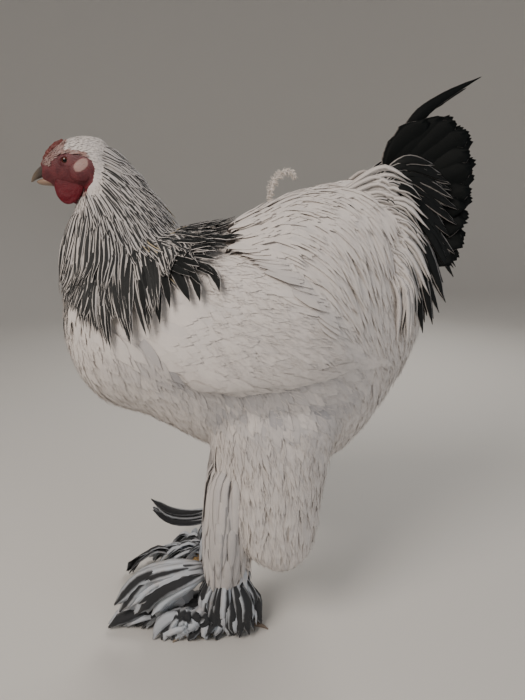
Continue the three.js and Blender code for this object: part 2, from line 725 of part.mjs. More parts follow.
add("back", body([backCore, ...backFeathers]), WHITE_COAT);
const faceBlock = above(headSolid(JOINT_GAP), FACE_PLANE.normal, FACE_PLANE.point, -JOINT_GAP / 2);
const besideNeck = [...wings(), groups.back.solid, groups.torso.solid];
const neckPieces = [isAbove(upright, NECK_PLANE), ...hackle(bodySkin, besideNeck)];
add("neck", body(neckPieces, [faceBlock]), STRIPED_COAT);
const eyeBall = (side, radius) => {
  const centre = vec(EYE_PLACE.x, side * EYE_PLACE.y, EYE_PLACE.z);
  return ellipsoid(centre, vec(radius, radius, radius), vec(90, 0, 0), 10, 7);
};
const beakRoom = [upperBeak, lowerBeak].map((form) => form.solid(12, 8, JOINT_GAP));
const combSolid = body(combPieces());
const sockets = Object.values(SIDES).map((side) => eyeBall(side, EYE_RADIUS));
const facePieces = [isAbove(headSolid(), FACE_PLANE), lid(-1), lid(1)];
const faceHollows = [ear(-1), ear(1), mouthCorner(-1), mouthCorner(1)];
add("head", body(facePieces, [...sockets, ...beakRoom, combRoom(), ...faceHollows]), RED_SKIN);
add("comb", combSolid, RED_SKIN);
add("beak_upper", body([upperBeak.solid(12, 8)], [combRoom(), nostril(-1), nostril(1)]), HORN);
add("beak_lower", body([lowerBeak.solid(12, 8)]), HORN);
for (const [name, side] of Object.entries(SIDES)) {
  const leg = LEGS[name];
  add(`eye_${name}`, eyeBall(side, EYE_RADIUS - JOINT_GAP), EYE);
  const besideFace = [headSolid(JOINT_GAP), neckSolid(JOINT_GAP)];
  add(`wattle_${name}`, body([wattle(side)], besideFace), RED_SKIN);
  const thigh = thighForm(leg);
  add(`thigh_${name}`, body([thigh.solid(16, 10)], [trunkSolid(JOINT_GAP)]), WHITE_COAT);
  add(`earlobe_${name}`, body([lobe(side)], [...besideFace, wattle(side, JOINT_GAP)]), PALE_LOBE);
  const shank = shankForm(leg).solid(14, 9);
  const shankPieces = [shank, ...hangingFeathers(leg, SHANK_TIERS)].map((p) => isAbove(p, ANKLE_LEVEL));
  const thighRoom = [thigh.solid(16, 10, JOINT_GAP), trunkSolid(JOINT_GAP)];
  add(`shank_${name}`, body(shankPieces, thighRoom), STRIPED_COAT);
  const toes = Object.values(TOES).map((toe) => limb(toeStations(leg, toe), 6));
  const claws = Object.entries(TOES).map(([toeName, toe]) => ({ toeName, toe, solid: toeClaw(leg, toe) }));
  const clawRoom = claws.map(({ toe }) => toeClaw(leg, toe, JOINT_GAP));
  const footPieces = [shank, ...toes, ...footFeathers(leg)].map((p) => isBelow(p, ANKLE_LEVEL));
  add(`foot_${name}`, isAbove(body(footPieces, clawRoom), FLOOR, 0), SCALES);
  for (const { toeName, solid } of claws) add(`claw_${toeName}_${name}`, solid, HORN);
}

const model = new THREE.Group();
model.position.set(MIDDLE_SHIFT.x, MIDDLE_SHIFT.y, 0);
for (const [name, { solid, material }] of Object.entries(groups)) {
  const made = solid.getMesh();
  const geometry = new THREE.BufferGeometry();
  geometry.setAttribute("position", new THREE.BufferAttribute(made.vertProperties, 3));
  geometry.setIndex(new THREE.BufferAttribute(made.triVerts, 1));
  const mesh = new THREE.Mesh(geometry, material);
  mesh.name = name;
  model.add(mesh);
}
export default model;
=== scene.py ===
# %% [markdown]
# # A light brahma cockerel, standing, at life size
# The bird is white, with a striped neck hackle, a black cape, a black tail and feathered feet. The
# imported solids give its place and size. This lesson dresses them: one skin under the coat, then the
# feathers tract by tract, and then the bare parts of the head and the feet.

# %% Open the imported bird
import math

import bpy
import numpy as np
from mathutils import Matrix, Vector, noise
from mathutils.bvhtree import BVHTree


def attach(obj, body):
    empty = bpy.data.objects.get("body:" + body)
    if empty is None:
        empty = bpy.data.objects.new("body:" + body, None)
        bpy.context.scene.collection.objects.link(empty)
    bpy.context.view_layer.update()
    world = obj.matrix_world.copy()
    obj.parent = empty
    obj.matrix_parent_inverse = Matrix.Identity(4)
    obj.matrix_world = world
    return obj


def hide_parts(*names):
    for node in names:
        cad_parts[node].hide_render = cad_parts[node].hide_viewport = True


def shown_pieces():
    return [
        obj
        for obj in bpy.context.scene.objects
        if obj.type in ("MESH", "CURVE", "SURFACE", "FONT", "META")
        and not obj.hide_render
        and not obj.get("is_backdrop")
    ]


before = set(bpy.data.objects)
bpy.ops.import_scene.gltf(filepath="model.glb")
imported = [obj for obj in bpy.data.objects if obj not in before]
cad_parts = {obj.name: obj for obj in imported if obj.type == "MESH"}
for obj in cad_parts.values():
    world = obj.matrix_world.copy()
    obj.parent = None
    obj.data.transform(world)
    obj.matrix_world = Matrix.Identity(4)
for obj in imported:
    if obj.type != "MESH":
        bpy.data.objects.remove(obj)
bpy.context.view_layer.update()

# %% [markdown]
# ## Measures
# All the bird's sizes are in millimetres from its own middle plane, because a breeder measures a bird
# that way. One small function brings them into the frame of the solids, which is in metres.

# %% From the bird's millimetres to metres
EYE_X, EYE_Y, EYE_Z = -224.5, 14.2, 589.5
WATTLE_X, LOBE_X = -222.0, -206.5
MIDDLE_SHIFT = np.array([11.0, -3.0, 0.0])
SIDES = {"left": -1, "right": 1}
chance = np.random.default_rng(20)


def in_frame(points):
    return (np.asarray(points, float) + MIDDLE_SHIFT) / 1000


def eye_place(side, y=EYE_Y):
    return tuple(in_frame([EYE_X, side * y, EYE_Z]))


def clear_selection():
    if bpy.context.object and bpy.context.object.mode != "OBJECT":
        bpy.ops.object.mode_set(mode="OBJECT")
    bpy.ops.object.select_all(action="DESELECT")


def select_only(*pieces):
    clear_selection()
    for piece in pieces:
        piece.select_set(True)
    bpy.context.view_layer.objects.active = pieces[0]
    return pieces[0]


def edit_all():
    bpy.ops.object.mode_set(mode="EDIT")
    bpy.ops.mesh.select_all(action="SELECT")


def unit(vectors):
    return vectors / np.maximum(np.linalg.norm(vectors, axis=-1, keepdims=True), 1e-9)


# %% [markdown]
# ## Camera, floor and light
# The photograph was taken from a little above the bird's back, close by, so the camera looks down by
# fifteen degrees at its left side. The floor is plain. Three large soft lights are enough for white
# plumage, which loses its form when the light comes evenly from everywhere.

# %% Camera and floor
clear_selection()
camera = bpy.data.objects.new("camera", bpy.data.cameras.new("camera"))
bpy.context.scene.collection.objects.link(camera)
camera.location = (0.011, -0.654, 0.536)
camera.rotation_euler = (math.radians(75), 0, 0)
camera.data.sensor_width = 36
camera.data.lens = 27.05
bpy.context.scene.camera = camera

bpy.ops.mesh.primitive_circle_add(vertices=96, radius=2.2, fill_type="NOTHING", location=(0, 0, 0))
floor = bpy.context.object
floor.name = "floor"
edit_all()
bpy.ops.mesh.edge_face_add()
bpy.ops.mesh.select_mode(type="EDGE")
for turn in range(10, 91, 10):
    last, here = math.radians(turn - 10), math.radians(turn)
    bpy.ops.mesh.extrude_edges_move()
    wider = (2.2 + math.sin(here)) / (2.2 + math.sin(last))
    bpy.ops.transform.resize(value=(wider, wider, 1), center_override=(0, 0, 0))
    bpy.ops.transform.translate(value=(0, 0, math.cos(last) - math.cos(here)))
bpy.ops.mesh.extrude_edges_move()
bpy.ops.transform.translate(value=(0, 0, 3))
bpy.ops.mesh.select_mode(type="VERT")
bpy.ops.object.mode_set(mode="OBJECT")
bpy.ops.object.shade_smooth()
floor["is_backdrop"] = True
print("camera height", camera.location.z, "m, lens", camera.data.lens, "mm")


# %% Light
def soft_light(name, place, aim, size, watts, colour):
    lamp = bpy.data.objects.new(name, bpy.data.lights.new(name, "AREA"))
    bpy.context.scene.collection.objects.link(lamp)
    lamp.location = place
    lamp.rotation_euler = (Vector(aim) - Vector(place)).to_track_quat("-Z", "Y").to_euler()
    lamp.data.shape = "DISK"
    lamp.data.size = size
    lamp.data.energy = watts
    lamp.data.color = colour
    return lamp


soft_light("key_light", (-0.9, -1.1, 1.6), (0, 0, 0.35), 0.9, 27, (1, 0.92, 0.84))
soft_light("fill_light", (1.5, -1.3, 0.7), (0, 0, 0.3), 1.4, 8, (0.86, 0.92, 1))
soft_light("rim_light", (0.5, 1.5, 1.5), (0, 0, 0.4), 1.0, 17, (1, 0.96, 0.9))
world = bpy.data.worlds.new("room")
bpy.context.scene.world = world
world.use_nodes = True
world.node_tree.nodes["Background"].inputs["Color"].default_value = (0.78, 0.8, 0.84, 1)
world.node_tree.nodes["Background"].inputs["Strength"].default_value = 0.31
print("three soft lights and a pale room")

# %% [markdown]
# ## Finishes
# Every finish is a small net of nodes. A feather's own map, called Vane, runs across it from edge to
# edge and along it from root to tip, so a dark middle or a white lacing follows each feather. Four
# numbers go with each feather: how wide its dark middle is, its own tone, how grey it is, and how
# straw-coloured. The grey is the feather's undercolour, and round the wing it is also painted shade.


# %% Nodes by name
class Finish:
    def __init__(self, name):
        self.material = bpy.data.materials.new(name)
        self.material.use_nodes = True
        self.tree = self.material.node_tree
        self.shader = self.tree.nodes["Principled BSDF"]

    def set(self, **values):
        for key, value in values.items():
            self.put(self.shader.inputs[key.replace("_", " ")], value)

    def node(self, kind, inputs=None, **settings):
        made = self.tree.nodes.new(kind)
        for key, value in settings.items():
            setattr(made, key, value)
        for key, value in (inputs or {}).items():
            self.put(made.inputs[key], value)
        return made

    def put(self, socket, value):
        if isinstance(value, bpy.types.NodeSocket):
            self.tree.links.new(value, socket)
        else:
            socket.default_value = value

    def math(self, operation, a, b=0.0, c=0.0):
        inputs = {0: a, 1: b} if operation != "MULTIPLY_ADD" else {0: a, 1: b, 2: c}
        return self.node("ShaderNodeMath", inputs, operation=operation).outputs[0]

    def times(self, a, b):
        return self.math("MULTIPLY", a, b)

    def scaled(self, a, by, plus):
        return self.math("MULTIPLY_ADD", a, by, plus)

    def smooth(self, value, low, high, to_low=0.0, to_high=1.0):
        inputs = {"Value": value, "From Min": low, "From Max": high, "To Min": to_low, "To Max": to_high}
        return self.node("ShaderNodeMapRange", inputs, interpolation_type="SMOOTHSTEP").outputs[0]

    def mix(self, share, a, b):
        made = self.node("ShaderNodeMix", data_type="RGBA")
        self.put(made.inputs[0], share)
        self.put(made.inputs[6], a)
        self.put(made.inputs[7], b)
        return made.outputs[2]

    def place(self):
        """The place on the bird, in metres in the shared frame."""
        return self.node("ShaderNodeTexCoord").outputs["Object"]

    def parts(self, vector):
        """The X, Y and Z of a vector."""
        return self.node("ShaderNodeSeparateXYZ", {0: vector}).outputs

    def noise(self, scale, detail=2.0, vector=None):
        inputs = {"Vector": vector or self.place(), "Scale": scale, "Detail": detail}
        return self.node("ShaderNodeTexNoise", inputs).outputs["Fac"]

    def cells(self, scale, **settings):
        inputs = {"Vector": self.place(), "Scale": scale}
        return self.node("ShaderNodeTexVoronoi", inputs, **settings).outputs["Distance"]

    def ramp(self, value, stops):
        made = self.node("ShaderNodeValToRGB", {"Fac": value})
        ramp = made.color_ramp
        for i, (at, level) in enumerate(stops):
            stop = ramp.elements[i] if i < 2 else ramp.elements.new(at)
            stop.position = at
            stop.color = (level, level, level, 1)
        return made.outputs["Color"]

    def bump(self, height, strength, distance):
        inputs = {"Height": height, "Strength": strength, "Distance": distance}
        self.set(Normal=self.node("ShaderNodeBump", inputs).outputs[0])


def colour(r, g, b):
    return (r, g, b, 1.0)


# %% Plumage
WHITE = colour(0.76, 0.70, 0.655)
SHADED_WHITE = colour(0.60, 0.57, 0.565)
HACKLE_WHITE = colour(0.62, 0.575, 0.54)
# the grey of the down, and also the colour of the painted shade round the wing
GREY_DOWN_AND_SHADE = colour(0.30, 0.30, 0.325)
STRAW = colour(0.62, 0.47, 0.22)
BLACK = colour(0.012, 0.013, 0.013)
BARBS = 46.0  # how many barb lines run along a feather
MATT = 0.78  # the roughness of a feather's pale parts


def plumage(name, middle, light=WHITE, dark=BLACK, soft=0.10, gloss=0.5, sheen=0.2, shine=0.35):
    """A feather's finish. The stops of its dark middle say how wide it is from root to tip."""
    finish = Finish(name)
    u, v, _ = finish.parts(finish.node("ShaderNodeUVMap", uv_map="Vane").outputs[0])
    across = finish.math("ABSOLUTE", finish.scaled(u, 2.0, -1.0))
    own = finish.node("ShaderNodeAttribute", attribute_name="Feather")
    dark_share, tone, grey = finish.node("ShaderNodeSeparateColor", {0: own.outputs["Color"]}).outputs
    straw = own.outputs["Alpha"]
    grain = finish.noise(90.0, 3.0)
    wide = finish.times(dark_share, finish.ramp(v, middle))
    wide = finish.scaled(finish.math("SUBTRACT", grain, 0.5), 0.25, wide)
    mask = finish.smooth(finish.math("SUBTRACT", wide, across), -soft, soft)
    mask = finish.times(mask, finish.smooth(dark_share, 0.02, 0.1))
    fine = finish.scaled(v, BARBS, finish.times(across, -9.0))
    strands = finish.math("SINE", finish.times(fine, 6.283))
    base = finish.mix(finish.times(tone, finish.smooth(grain, 0.3, 0.75)), light, SHADED_WHITE)
    base = finish.mix(finish.times(straw, finish.smooth(v, 0.1, 0.5)), base, STRAW)
    downy = finish.times(finish.smooth(v, 0.3, 0.05), 0.08)
    base = finish.mix(finish.math("MAXIMUM", grey, downy), base, GREY_DOWN_AND_SHADE)
    finish.set(
        Base_Color=finish.mix(mask, base, dark), Roughness=finish.scaled(mask, gloss - MATT, MATT),
        Sheen_Weight=sheen, Sheen_Roughness=0.5, Specular_IOR_Level=shine,
    )
    finish.bump(finish.scaled(strands, 0.5, grain), 0.35, 0.0004)
    return finish.material


white_coat = plumage("white_plumage", [(0, 0), (0.45, 0.2), (0.8, 1), (0.97, 0)])
striped_hackle = plumage(
    "striped_hackle", [(0, 0.8), (0.25, 0.85), (0.8, 1), (1, 0.8)], light=HACKLE_WHITE, soft=0.16, sheen=0.03,
)
laced_black = plumage(
    "laced_black", [(0, 0.6), (0.3, 1), (0.86, 1), (1, 0.75)], light=HACKLE_WHITE,
    dark=colour(0.005, 0.006, 0.006), soft=0.07, gloss=0.55, sheen=0.0, shine=0.2,
)
foot_coat = plumage(
    "foot_plumage", [(0, 0.1), (0.3, 0.7), (0.75, 1), (1, 0.9)], light=colour(0.55, 0.59, 0.64),
    dark=colour(0.022, 0.023, 0.026), soft=0.22, gloss=0.7, sheen=0.08,
)
tail_black = plumage(
    "tail_plumage", [(0, 1), (1, 1)], dark=colour(0.002, 0.003, 0.003), gloss=0.62, sheen=0.0, shine=0.14,
)
pink_bristles = plumage("pink_bristles", [(0, 0), (1, 0)], light=colour(0.34, 0.185, 0.155), sheen=0.05)
print("plumage finishes:", [m.name for m in bpy.data.materials if "plumage" in m.name])


# %% Bare skin, horn, scales and eye
def white_patch(finish):
    """A tilted oval over the ear lobe and the skin above it, with a soft uneven edge."""
    centre = in_frame([LOBE_X + 0.8, 0, 584.2])
    inputs = {"Vector": finish.place(), "Location": (-centre[0], 0, -centre[2])}
    x, _, z = finish.parts(finish.node("ShaderNodeMapping", inputs).outputs[0])
    tilt = math.radians(34)
    along = finish.scaled(x, math.cos(tilt), finish.times(z, math.sin(tilt)))
    across = finish.scaled(z, math.cos(tilt), finish.times(x, -math.sin(tilt)))
    a, b = (
        finish.math("POWER", finish.math("ABSOLUTE", finish.math("DIVIDE", way, half)), 2.2)
        for way, half in ((along, 0.0092), (across, 0.0058))
    )
    uneven = finish.scaled(finish.noise(300.0), 0.5, -0.25)
    return finish.smooth(finish.math("ADD", finish.math("ADD", a, b), uneven), 1.35, 0.65)


def skin_finish(name, deep, bright, patch=None, shine=0.4):
    """Bare red skin, darker where it hangs and pale where a patch is given."""
    finish = Finish(name)
    fine = finish.noise(900.0, 4.0)
    red = finish.mix(finish.smooth(finish.noise(120.0, 3.0), 0.3, 0.7), deep, bright)
    hanging = finish.times(finish.smooth(finish.parts(finish.place())[2], 0.578, 0.556), 0.8)
    red = finish.mix(hanging, red, colour(0.12, 0.008, 0.015))
    red = finish.mix(finish.smooth(fine, 0.6, 0.85), red, colour(0.24, 0.045, 0.055))
    if patch:
        red = finish.mix(patch(finish), red, colour(0.36, 0.225, 0.205))
    finish.set(
        Base_Color=red, Roughness=0.5, Specular_IOR_Level=shine,
        Subsurface_Weight=0.18, Subsurface_Scale=0.004, Subsurface_Radius=(1.0, 0.25, 0.2),
    )
    finish.bump(finish.scaled(fine, 0.4, finish.cells(800.0)), 0.55, 0.0006)
    return finish.material


def under_coat_finish():
    finish = Finish("skin_under_coat")
    cloud = finish.smooth(finish.noise(60.0, 3.0), 0.3, 0.7)
    base = finish.mix(cloud, colour(0.68, 0.64, 0.61), colour(0.60, 0.57, 0.56))
    finish.set(Base_Color=base, Roughness=0.85)
    finish.bump(finish.noise(500.0, 4.0), 0.6, 0.001)
    return finish.material


def scale_finish():
    finish = Finish("leg_scales")
    cells = finish.cells(260.0, feature="DISTANCE_TO_EDGE")
    dirt = finish.smooth(finish.noise(140.0, 4.0), 0.35, 0.7)
    base = finish.mix(dirt, colour(0.62, 0.40, 0.13), colour(0.42, 0.27, 0.12))
    base = finish.mix(finish.smooth(cells, 0.10, 0.0), base, colour(0.16, 0.10, 0.06))
    finish.set(Base_Color=base, Roughness=0.5)
    finish.bump(finish.smooth(cells, 0.0, 0.2), 0.6, 0.0008)
    return finish.material


def horn_finish(name, tip, root, low=-0.262, high=-0.240):
    """Horn that changes from a tip colour to a root colour between two places along X, in metres."""
    finish = Finish(name)
    place = finish.place()
    streak = finish.node("ShaderNodeMapping", {"Vector": place, "Scale": (60, 900, 900)}).outputs[0]
    lines = finish.noise(1.0, 3.0, streak)
    share = finish.smooth(finish.scaled(lines, 0.006, finish.parts(place)[0]), low, high)
    finish.set(Base_Color=finish.mix(share, tip, root), Roughness=0.34)
    finish.bump(lines, 0.25, 0.0004)
    return finish.material


def eye_finish(side):
    """Rings round the middle of the eye: a dark pupil, a brown iris and its darker rim."""
    finish = Finish("eye_" + side)
    centre = np.array(eye_place(SIDES[side]))
    inputs = {"Vector": finish.place(), "Location": tuple(-centre)}
    x, _, z = finish.parts(finish.node("ShaderNodeMapping", inputs).outputs[0])
    flat = finish.node("ShaderNodeCombineXYZ", {0: x, 2: z}).outputs[0]
    radius = finish.node("ShaderNodeVectorMath", {0: flat}, operation="LENGTH").outputs["Value"]
    rays = finish.smooth(finish.noise(2600.0, 3.0), 0.3, 0.7)
    iris = finish.mix(rays, colour(0.11, 0.026, 0.010), colour(0.05, 0.012, 0.006))
    iris = finish.mix(finish.smooth(radius, 0.0036, 0.0046), iris, colour(0.02, 0.008, 0.006))
    pupil = finish.smooth(radius, 0.0024, 0.0021)
    base = finish.mix(pupil, iris, colour(0.003, 0.003, 0.003))
    finish.set(Base_Color=base, Roughness=0.22, Specular_IOR_Level=0.3, Coat_Weight=0.12, Coat_Roughness=0.05)
    return finish.material


red_skin = skin_finish("red_skin", colour(0.085, 0.018, 0.023), colour(0.14, 0.031, 0.036), white_patch)
# The wattles' red is darker than the face's. This is painted shade, so that their lit upper part matches the
# shaded face above; lower down it turns crimson.
wattle_with_painted_shade = skin_finish(
    "wattle_with_painted_shade", colour(0.058, 0.010, 0.014), colour(0.095, 0.018, 0.022), shine=0.15,
)
comb_skin = skin_finish("comb_skin", colour(0.095, 0.018, 0.015), colour(0.15, 0.030, 0.023))
under_coat = under_coat_finish()
leg_scales = scale_finish()
dark_horn = horn_finish("dark_horn", colour(0.17, 0.13, 0.09), colour(0.05, 0.04, 0.035))
claw_horn = horn_finish("claw_horn", colour(0.30, 0.24, 0.17), colour(0.16, 0.12, 0.09), -0.2, 0.0)
pale_horn = horn_finish("pale_horn", colour(0.23, 0.18, 0.125), colour(0.26, 0.17, 0.12))
floor_finish = Finish("floor")
floor_finish.set(Base_Color=colour(0.62, 0.60, 0.57), Roughness=0.9)
floor.data.materials.append(floor_finish.material)
print(len(bpy.data.materials), "finishes")

# %% [markdown]
# ## The skin
# Under the coat a fowl is one skin from the face to the claws. It is drawn out of a few rounded
# forms, the same forms as the solids but thinner by the depth of the coat, and a voxel remesh then
# melts them into one. The head and the feet are bare and small, so they are melted in finer voxels
# before all is joined.


# %% A form of rings
class Form:
    """Rings stacked along X or Z. A row holds a ring's place, its lowest and highest value on the
    other of those axes, its half width in Y and, where it isn't in the middle, its middle in Y."""

    def __init__(self, axis, rows, caps):
        self.axis, self.caps = axis, caps
        self.rows = np.array(rows, float)
        self.start, self.end = self.rows[0, 0], self.rows[-1, 0]
        if self.rows.shape[1] == 4:
            self.rows = np.hstack([self.rows, np.zeros((len(rows), 1))])

    def ring(self, at, grow=0.0):
        places = self.rows[:, 0]
        i = int(np.clip(np.searchsorted(places, at) - 1, 0, len(places) - 2))
        near = [self.rows[np.clip(k, 0, len(places) - 1)] for k in range(i - 1, i + 3)]
        span = near[2][0] - near[1][0]
        t = np.clip((at - near[1][0]) / span, 0, 1)
        m0 = (near[2] - near[0]) / max(near[2][0] - near[0][0], 1e-6) * span
        m1 = (near[3] - near[1]) / max(near[3][0] - near[1][0], 1e-6) * span
        row = near[1] * (2 * t**3 - 3 * t**2 + 1) + m0 * (t**3 - 2 * t**2 + t)
        row += near[2] * (3 * t**2 - 2 * t**3) + m1 * (t**3 - t**2)
        size = 1.0
        for edge, cap in ((at - self.start, self.caps[0]), (self.end - at, self.caps[1])):
            share = np.clip((edge + grow) / max(cap + grow, 1), 0.002, 1)
            size *= math.sqrt(1 - (1 - share) ** 2)
        half, wide = ((row[2] - row[1]) / 2 + grow) * size, (row[3] + grow) * size
        return (row[1] + row[2]) / 2, row[4], max(half, 0.3), max(wide, 0.3)

    def places(self, count, grow):
        turn = np.linspace(0, math.pi, count)
        return (self.start + self.end) / 2 - np.cos(turn) * ((self.end - self.start) / 2 + grow)


def drawn_out(name, form, grow=0.0, rings=20, around=36):
    """A form drawn out of a circle, ring by ring."""
    clear_selection()
    tilt = (0, math.pi / 2, 0) if form.axis == "x" else (0, 0, 0)
    bpy.ops.mesh.primitive_circle_add(vertices=around, radius=1, fill_type="NGON", rotation=tilt)
    piece = bpy.context.object
    piece.name = name
    bpy.ops.object.transform_apply()
    edit_all()
    centre, size = np.zeros(3), np.ones(3)
    for k, at in enumerate(form.places(rings, grow)):
        middle, y, half, wide = form.ring(at, grow)
        if form.axis == "x":
            next_centre, next_size = in_frame([at, y, middle]), np.array([1, wide / 1000, half / 1000])
        else:
            next_centre, next_size = in_frame([middle, y, at]), np.array([half / 1000, wide / 1000, 1])
        if k:
            bpy.ops.mesh.extrude_region_move()
        bpy.ops.transform.resize(value=tuple(next_size / size), center_override=tuple(centre))
        bpy.ops.transform.translate(value=tuple(next_centre - centre))
        centre, size = next_centre, next_size
    bpy.ops.mesh.select_all(action="SELECT")
    bpy.ops.mesh.normals_make_consistent(inside=False)
    bpy.ops.object.mode_set(mode="OBJECT")
    return piece


def modify(piece, kind, **settings):
    select_only(piece)
    made = piece.modifiers.new(kind.lower(), kind)
    for key, value in settings.items():
        setattr(made, key, value)
    bpy.ops.object.modifier_apply(modifier=made.name)
    return piece


def melted(name, pieces, voxel, smoothing):
    """Pieces joined into one body by a voxel remesh, and smoothed."""
    select_only(*pieces)
    bpy.ops.object.join()
    piece = bpy.context.object
    piece.name = name
    modify(piece, "REMESH", mode="VOXEL", voxel_size=voxel)
    modify(piece, "SMOOTH", factor=0.5, iterations=smoothing)
    return piece


# %% The forms, as in the solids
trunk = Form("x", [
    [-246, 322, 478, 76], [-207, 302, 498, 95], [-181, 290, 508, 103], [-131, 276, 516, 113],
    [-84, 248, 515, 117], [-30, 226, 523, 119], [20, 212, 546, 116], [60, 208, 558, 108],
    [90, 220, 567, 94], [120, 250, 573, 78], [150, 296, 568, 60], [180, 350, 548, 46], [204, 392, 515, 34],
], [62, 34])
neck = Form("z", [
    [385, -240, -110, 76], [440, -244, -92, 80], [470, -243, -90, 72], [500, -241, -97, 61],
    [525, -234, -108, 50], [545, -226, -122, 40], [568, -216, -140, 32], [586, -214, -156, 27],
    [602, -216, -168, 23], [616, -222, -182, 17],
], [40, 16])
upper_neck = Form("z", [
    [548, -224, -126, 38], [568, -216, -140, 32], [586, -214, -156, 27], [602, -216, -168, 23],
    [616, -222, -182, 17],
], [10, 16])
head = Form("x", [
    [-260, 567, 588, 7], [-250, 563, 597, 11], [-240, 560, 605, 14.5], [-226, 557, 612, 18.5],
    [-210, 555, 615, 21], [-190, 555, 613, 22], [-175, 562, 605, 18],
], [8, 14])
LEGS = {
    "left": {"side": -1, "ankle": -44, "foot_y": 63, "hock": -22, "hock_y": 72, "shift": 0},
    "right": {"side": 1, "ankle": -60, "foot_y": 66, "hock": -34, "hock_y": 73, "shift": 6},
}


def thigh_form(leg):
    rows = [
        [96, 4, 46, 16, 10], [116, -14, 58, 28, 8], [148, -40, 68, 38, 4], [190, -58, 73, 43, 2],
        [230, -60, 78, 47, 0], [266, -64, 88, 50, -4], [300, -72, 94, 52, -8], [330, -70, 90, 46, -12],
    ]
    s = leg["shift"]
    placed = [[z, a + s, b + 2 * s, w, leg["side"] * (y + leg["hock_y"])] for z, a, b, w, y in rows]
    return Form("z", placed, [34, 30])


def shank_form(leg):
    """The bare shank itself, which the feathers hide."""
    rows = [
        [10, -9, 9, 9], [30, -9, 8, 8.5], [60, -8, 8, 8], [110, -9, 9, 8.5], [150, -14, 14, 12],
        [190, -20, 22, 15],
    ]
    placed = []
    for z, a, b, w in rows:
        share = (z - 14) / (178 - 14)
        x = leg["ankle"] + (leg["hock"] - leg["ankle"]) * share
        y = leg["side"] * (leg["foot_y"] + (leg["hock_y"] - leg["foot_y"]) * share)
        placed.append([z, x + a, x + b, w, y])
    return Form("z", placed, [8, 24])


TOES = {
    "middle": (-6, 78, 8), "inner": (-38, 56, 7.2), "outer": (26, 62, 7.2), "hind": (166, 36, 6.6),
}


def toe_form(reach, radius):
    """A toe along +X from the ankle, before it is turned to its heading."""
    rows = [
        [0.02, 17, 0.95], [0.15, 12, 1.05], [0.25, 9.5, 1.12], [0.35, 8, 0.92], [0.45, 7, 0.98],
        [0.55, 7.2, 1.08],
        [0.66, 7.4, 1.0], [0.76, 6.6, 0.82], [0.86, 6, 0.9], [1, 5.8, 0.66],
    ]
    placed = []
    for share, z, size in rows:
        r = radius * size
        z = max(z * radius / 8, r - 0.4)
        placed.append([share * reach, z - r, z + r, r])
    return Form("x", placed, [5, 4])


def turned_toe(name, leg, toe, form):
    piece = drawn_out(name, form, rings=26, around=20)
    heading = math.radians(TOES[toe][0])
    way = Vector((-math.cos(heading), leg["side"] * math.sin(heading), 0))
    piece.data.transform(Matrix.Translation(-Vector(in_frame([0, 0, 0]))))
    piece.data.transform(Vector((1, 0, 0)).rotation_difference(way).to_matrix().to_4x4())
    ankle = in_frame([leg["ankle"], leg["side"] * leg["foot_y"], 0])
    piece.data.transform(Matrix.Translation(Vector(ankle)))
    return piece


# %% Melt the body, the head and the feet into one skin
COAT_DEPTH = 11.0
body_forms = [drawn_out("trunk", trunk, -COAT_DEPTH), drawn_out("neck", neck, -9)]
for leg in LEGS.values():
    body_forms.append(drawn_out("thigh", thigh_form(leg), -COAT_DEPTH))
skin = melted("skin", body_forms, 0.0046, 10)

head_forms = [
    drawn_out("head", head, 0, rings=26, around=40), drawn_out("upper_neck", upper_neck, -8, rings=24),
]
for side in SIDES.values():
    clear_selection()
    bpy.ops.mesh.primitive_torus_add(
        major_radius=0.0052, minor_radius=0.0012, major_segments=36, minor_segments=10,
        location=eye_place(side, 17.9), rotation=(math.pi / 2, 0, side * math.radians(-14)),
    )
    lids = bpy.context.object
    bpy.ops.object.transform_apply()
    bpy.ops.object.mode_set(mode="EDIT")
    bpy.ops.transform.resize(value=(1.12, 1, 0.9), center_override=eye_place(side, 17.9))
    bpy.ops.object.mode_set(mode="OBJECT")
    head_forms.append(lids)
head_skin = melted("head_skin", head_forms, 0.001, 4)

leg_forms = []
for leg in LEGS.values():
    leg_forms.append(drawn_out("shank", shank_form(leg), 0, rings=24))
    for toe, (_, reach, radius) in TOES.items():
        leg_forms.append(turned_toe("toe", leg, toe, toe_form(reach, radius)))
leg_skin = melted("leg_skin", leg_forms, 0.0018, 3)
for part in (head_skin, leg_skin):
    modify(skin, "BOOLEAN", object=part, operation="UNION", solver="EXACT")
    bpy.data.objects.remove(part)
print("skin faces:", len(skin.data.polygons))

# %% [markdown]
# The eyes are set in cups cut into the skin, so the lids stand round them as on the real head. The
# wing lies against the flank as a low leaf-shaped swelling, made by moving the skin outwards there.

# %% Eye cups and wing swellings
EYE_RADIUS = 5.7
for side in SIDES.values():
    clear_selection()
    bpy.ops.mesh.primitive_uv_sphere_add(
        radius=EYE_RADIUS / 1000, segments=40, ring_count=28, location=eye_place(side),
    )
    cup = bpy.context.object
    modify(skin, "BOOLEAN", object=cup, operation="DIFFERENCE", solver="EXACT")
    bpy.data.objects.remove(cup)

WING_OUTLINE = np.array([
    [-142, 424], [-122, 462], [-82, 486], [-32, 490], [14, 468], [54, 436], [84, 402], [104, 374],
    [74, 362], [36, 355], [-14, 350], [-62, 346], [-104, 364], [-132, 392],
], float)


def depth_inside(points, outline):
    """How far points lie inside a closed outline; less than 0 outside."""
    inside = np.zeros(len(points), bool)
    distance = np.full(len(points), 1e9)
    for a, b in zip(outline, np.roll(outline, -1, axis=0)):
        edge = b - a
        t = np.clip(((points - a) @ edge) / (edge @ edge), 0, 1)
        distance = np.minimum(distance, np.linalg.norm(points - (a + t[:, None] * edge), axis=1))
        crosses = (a[1] > points[:, 1]) != (b[1] > points[:, 1])
        slope = np.where(b[1] == a[1], 1e9, (b[0] - a[0]) / (b[1] - a[1] + 1e-12))
        inside ^= crosses & (points[:, 0] < a[0] + slope * (points[:, 1] - a[1]))
    return np.where(inside, distance, -distance)


def mesh_points(piece):
    points = np.empty(len(piece.data.vertices) * 3)
    piece.data.vertices.foreach_get("co", points)
    return points.reshape(-1, 3)


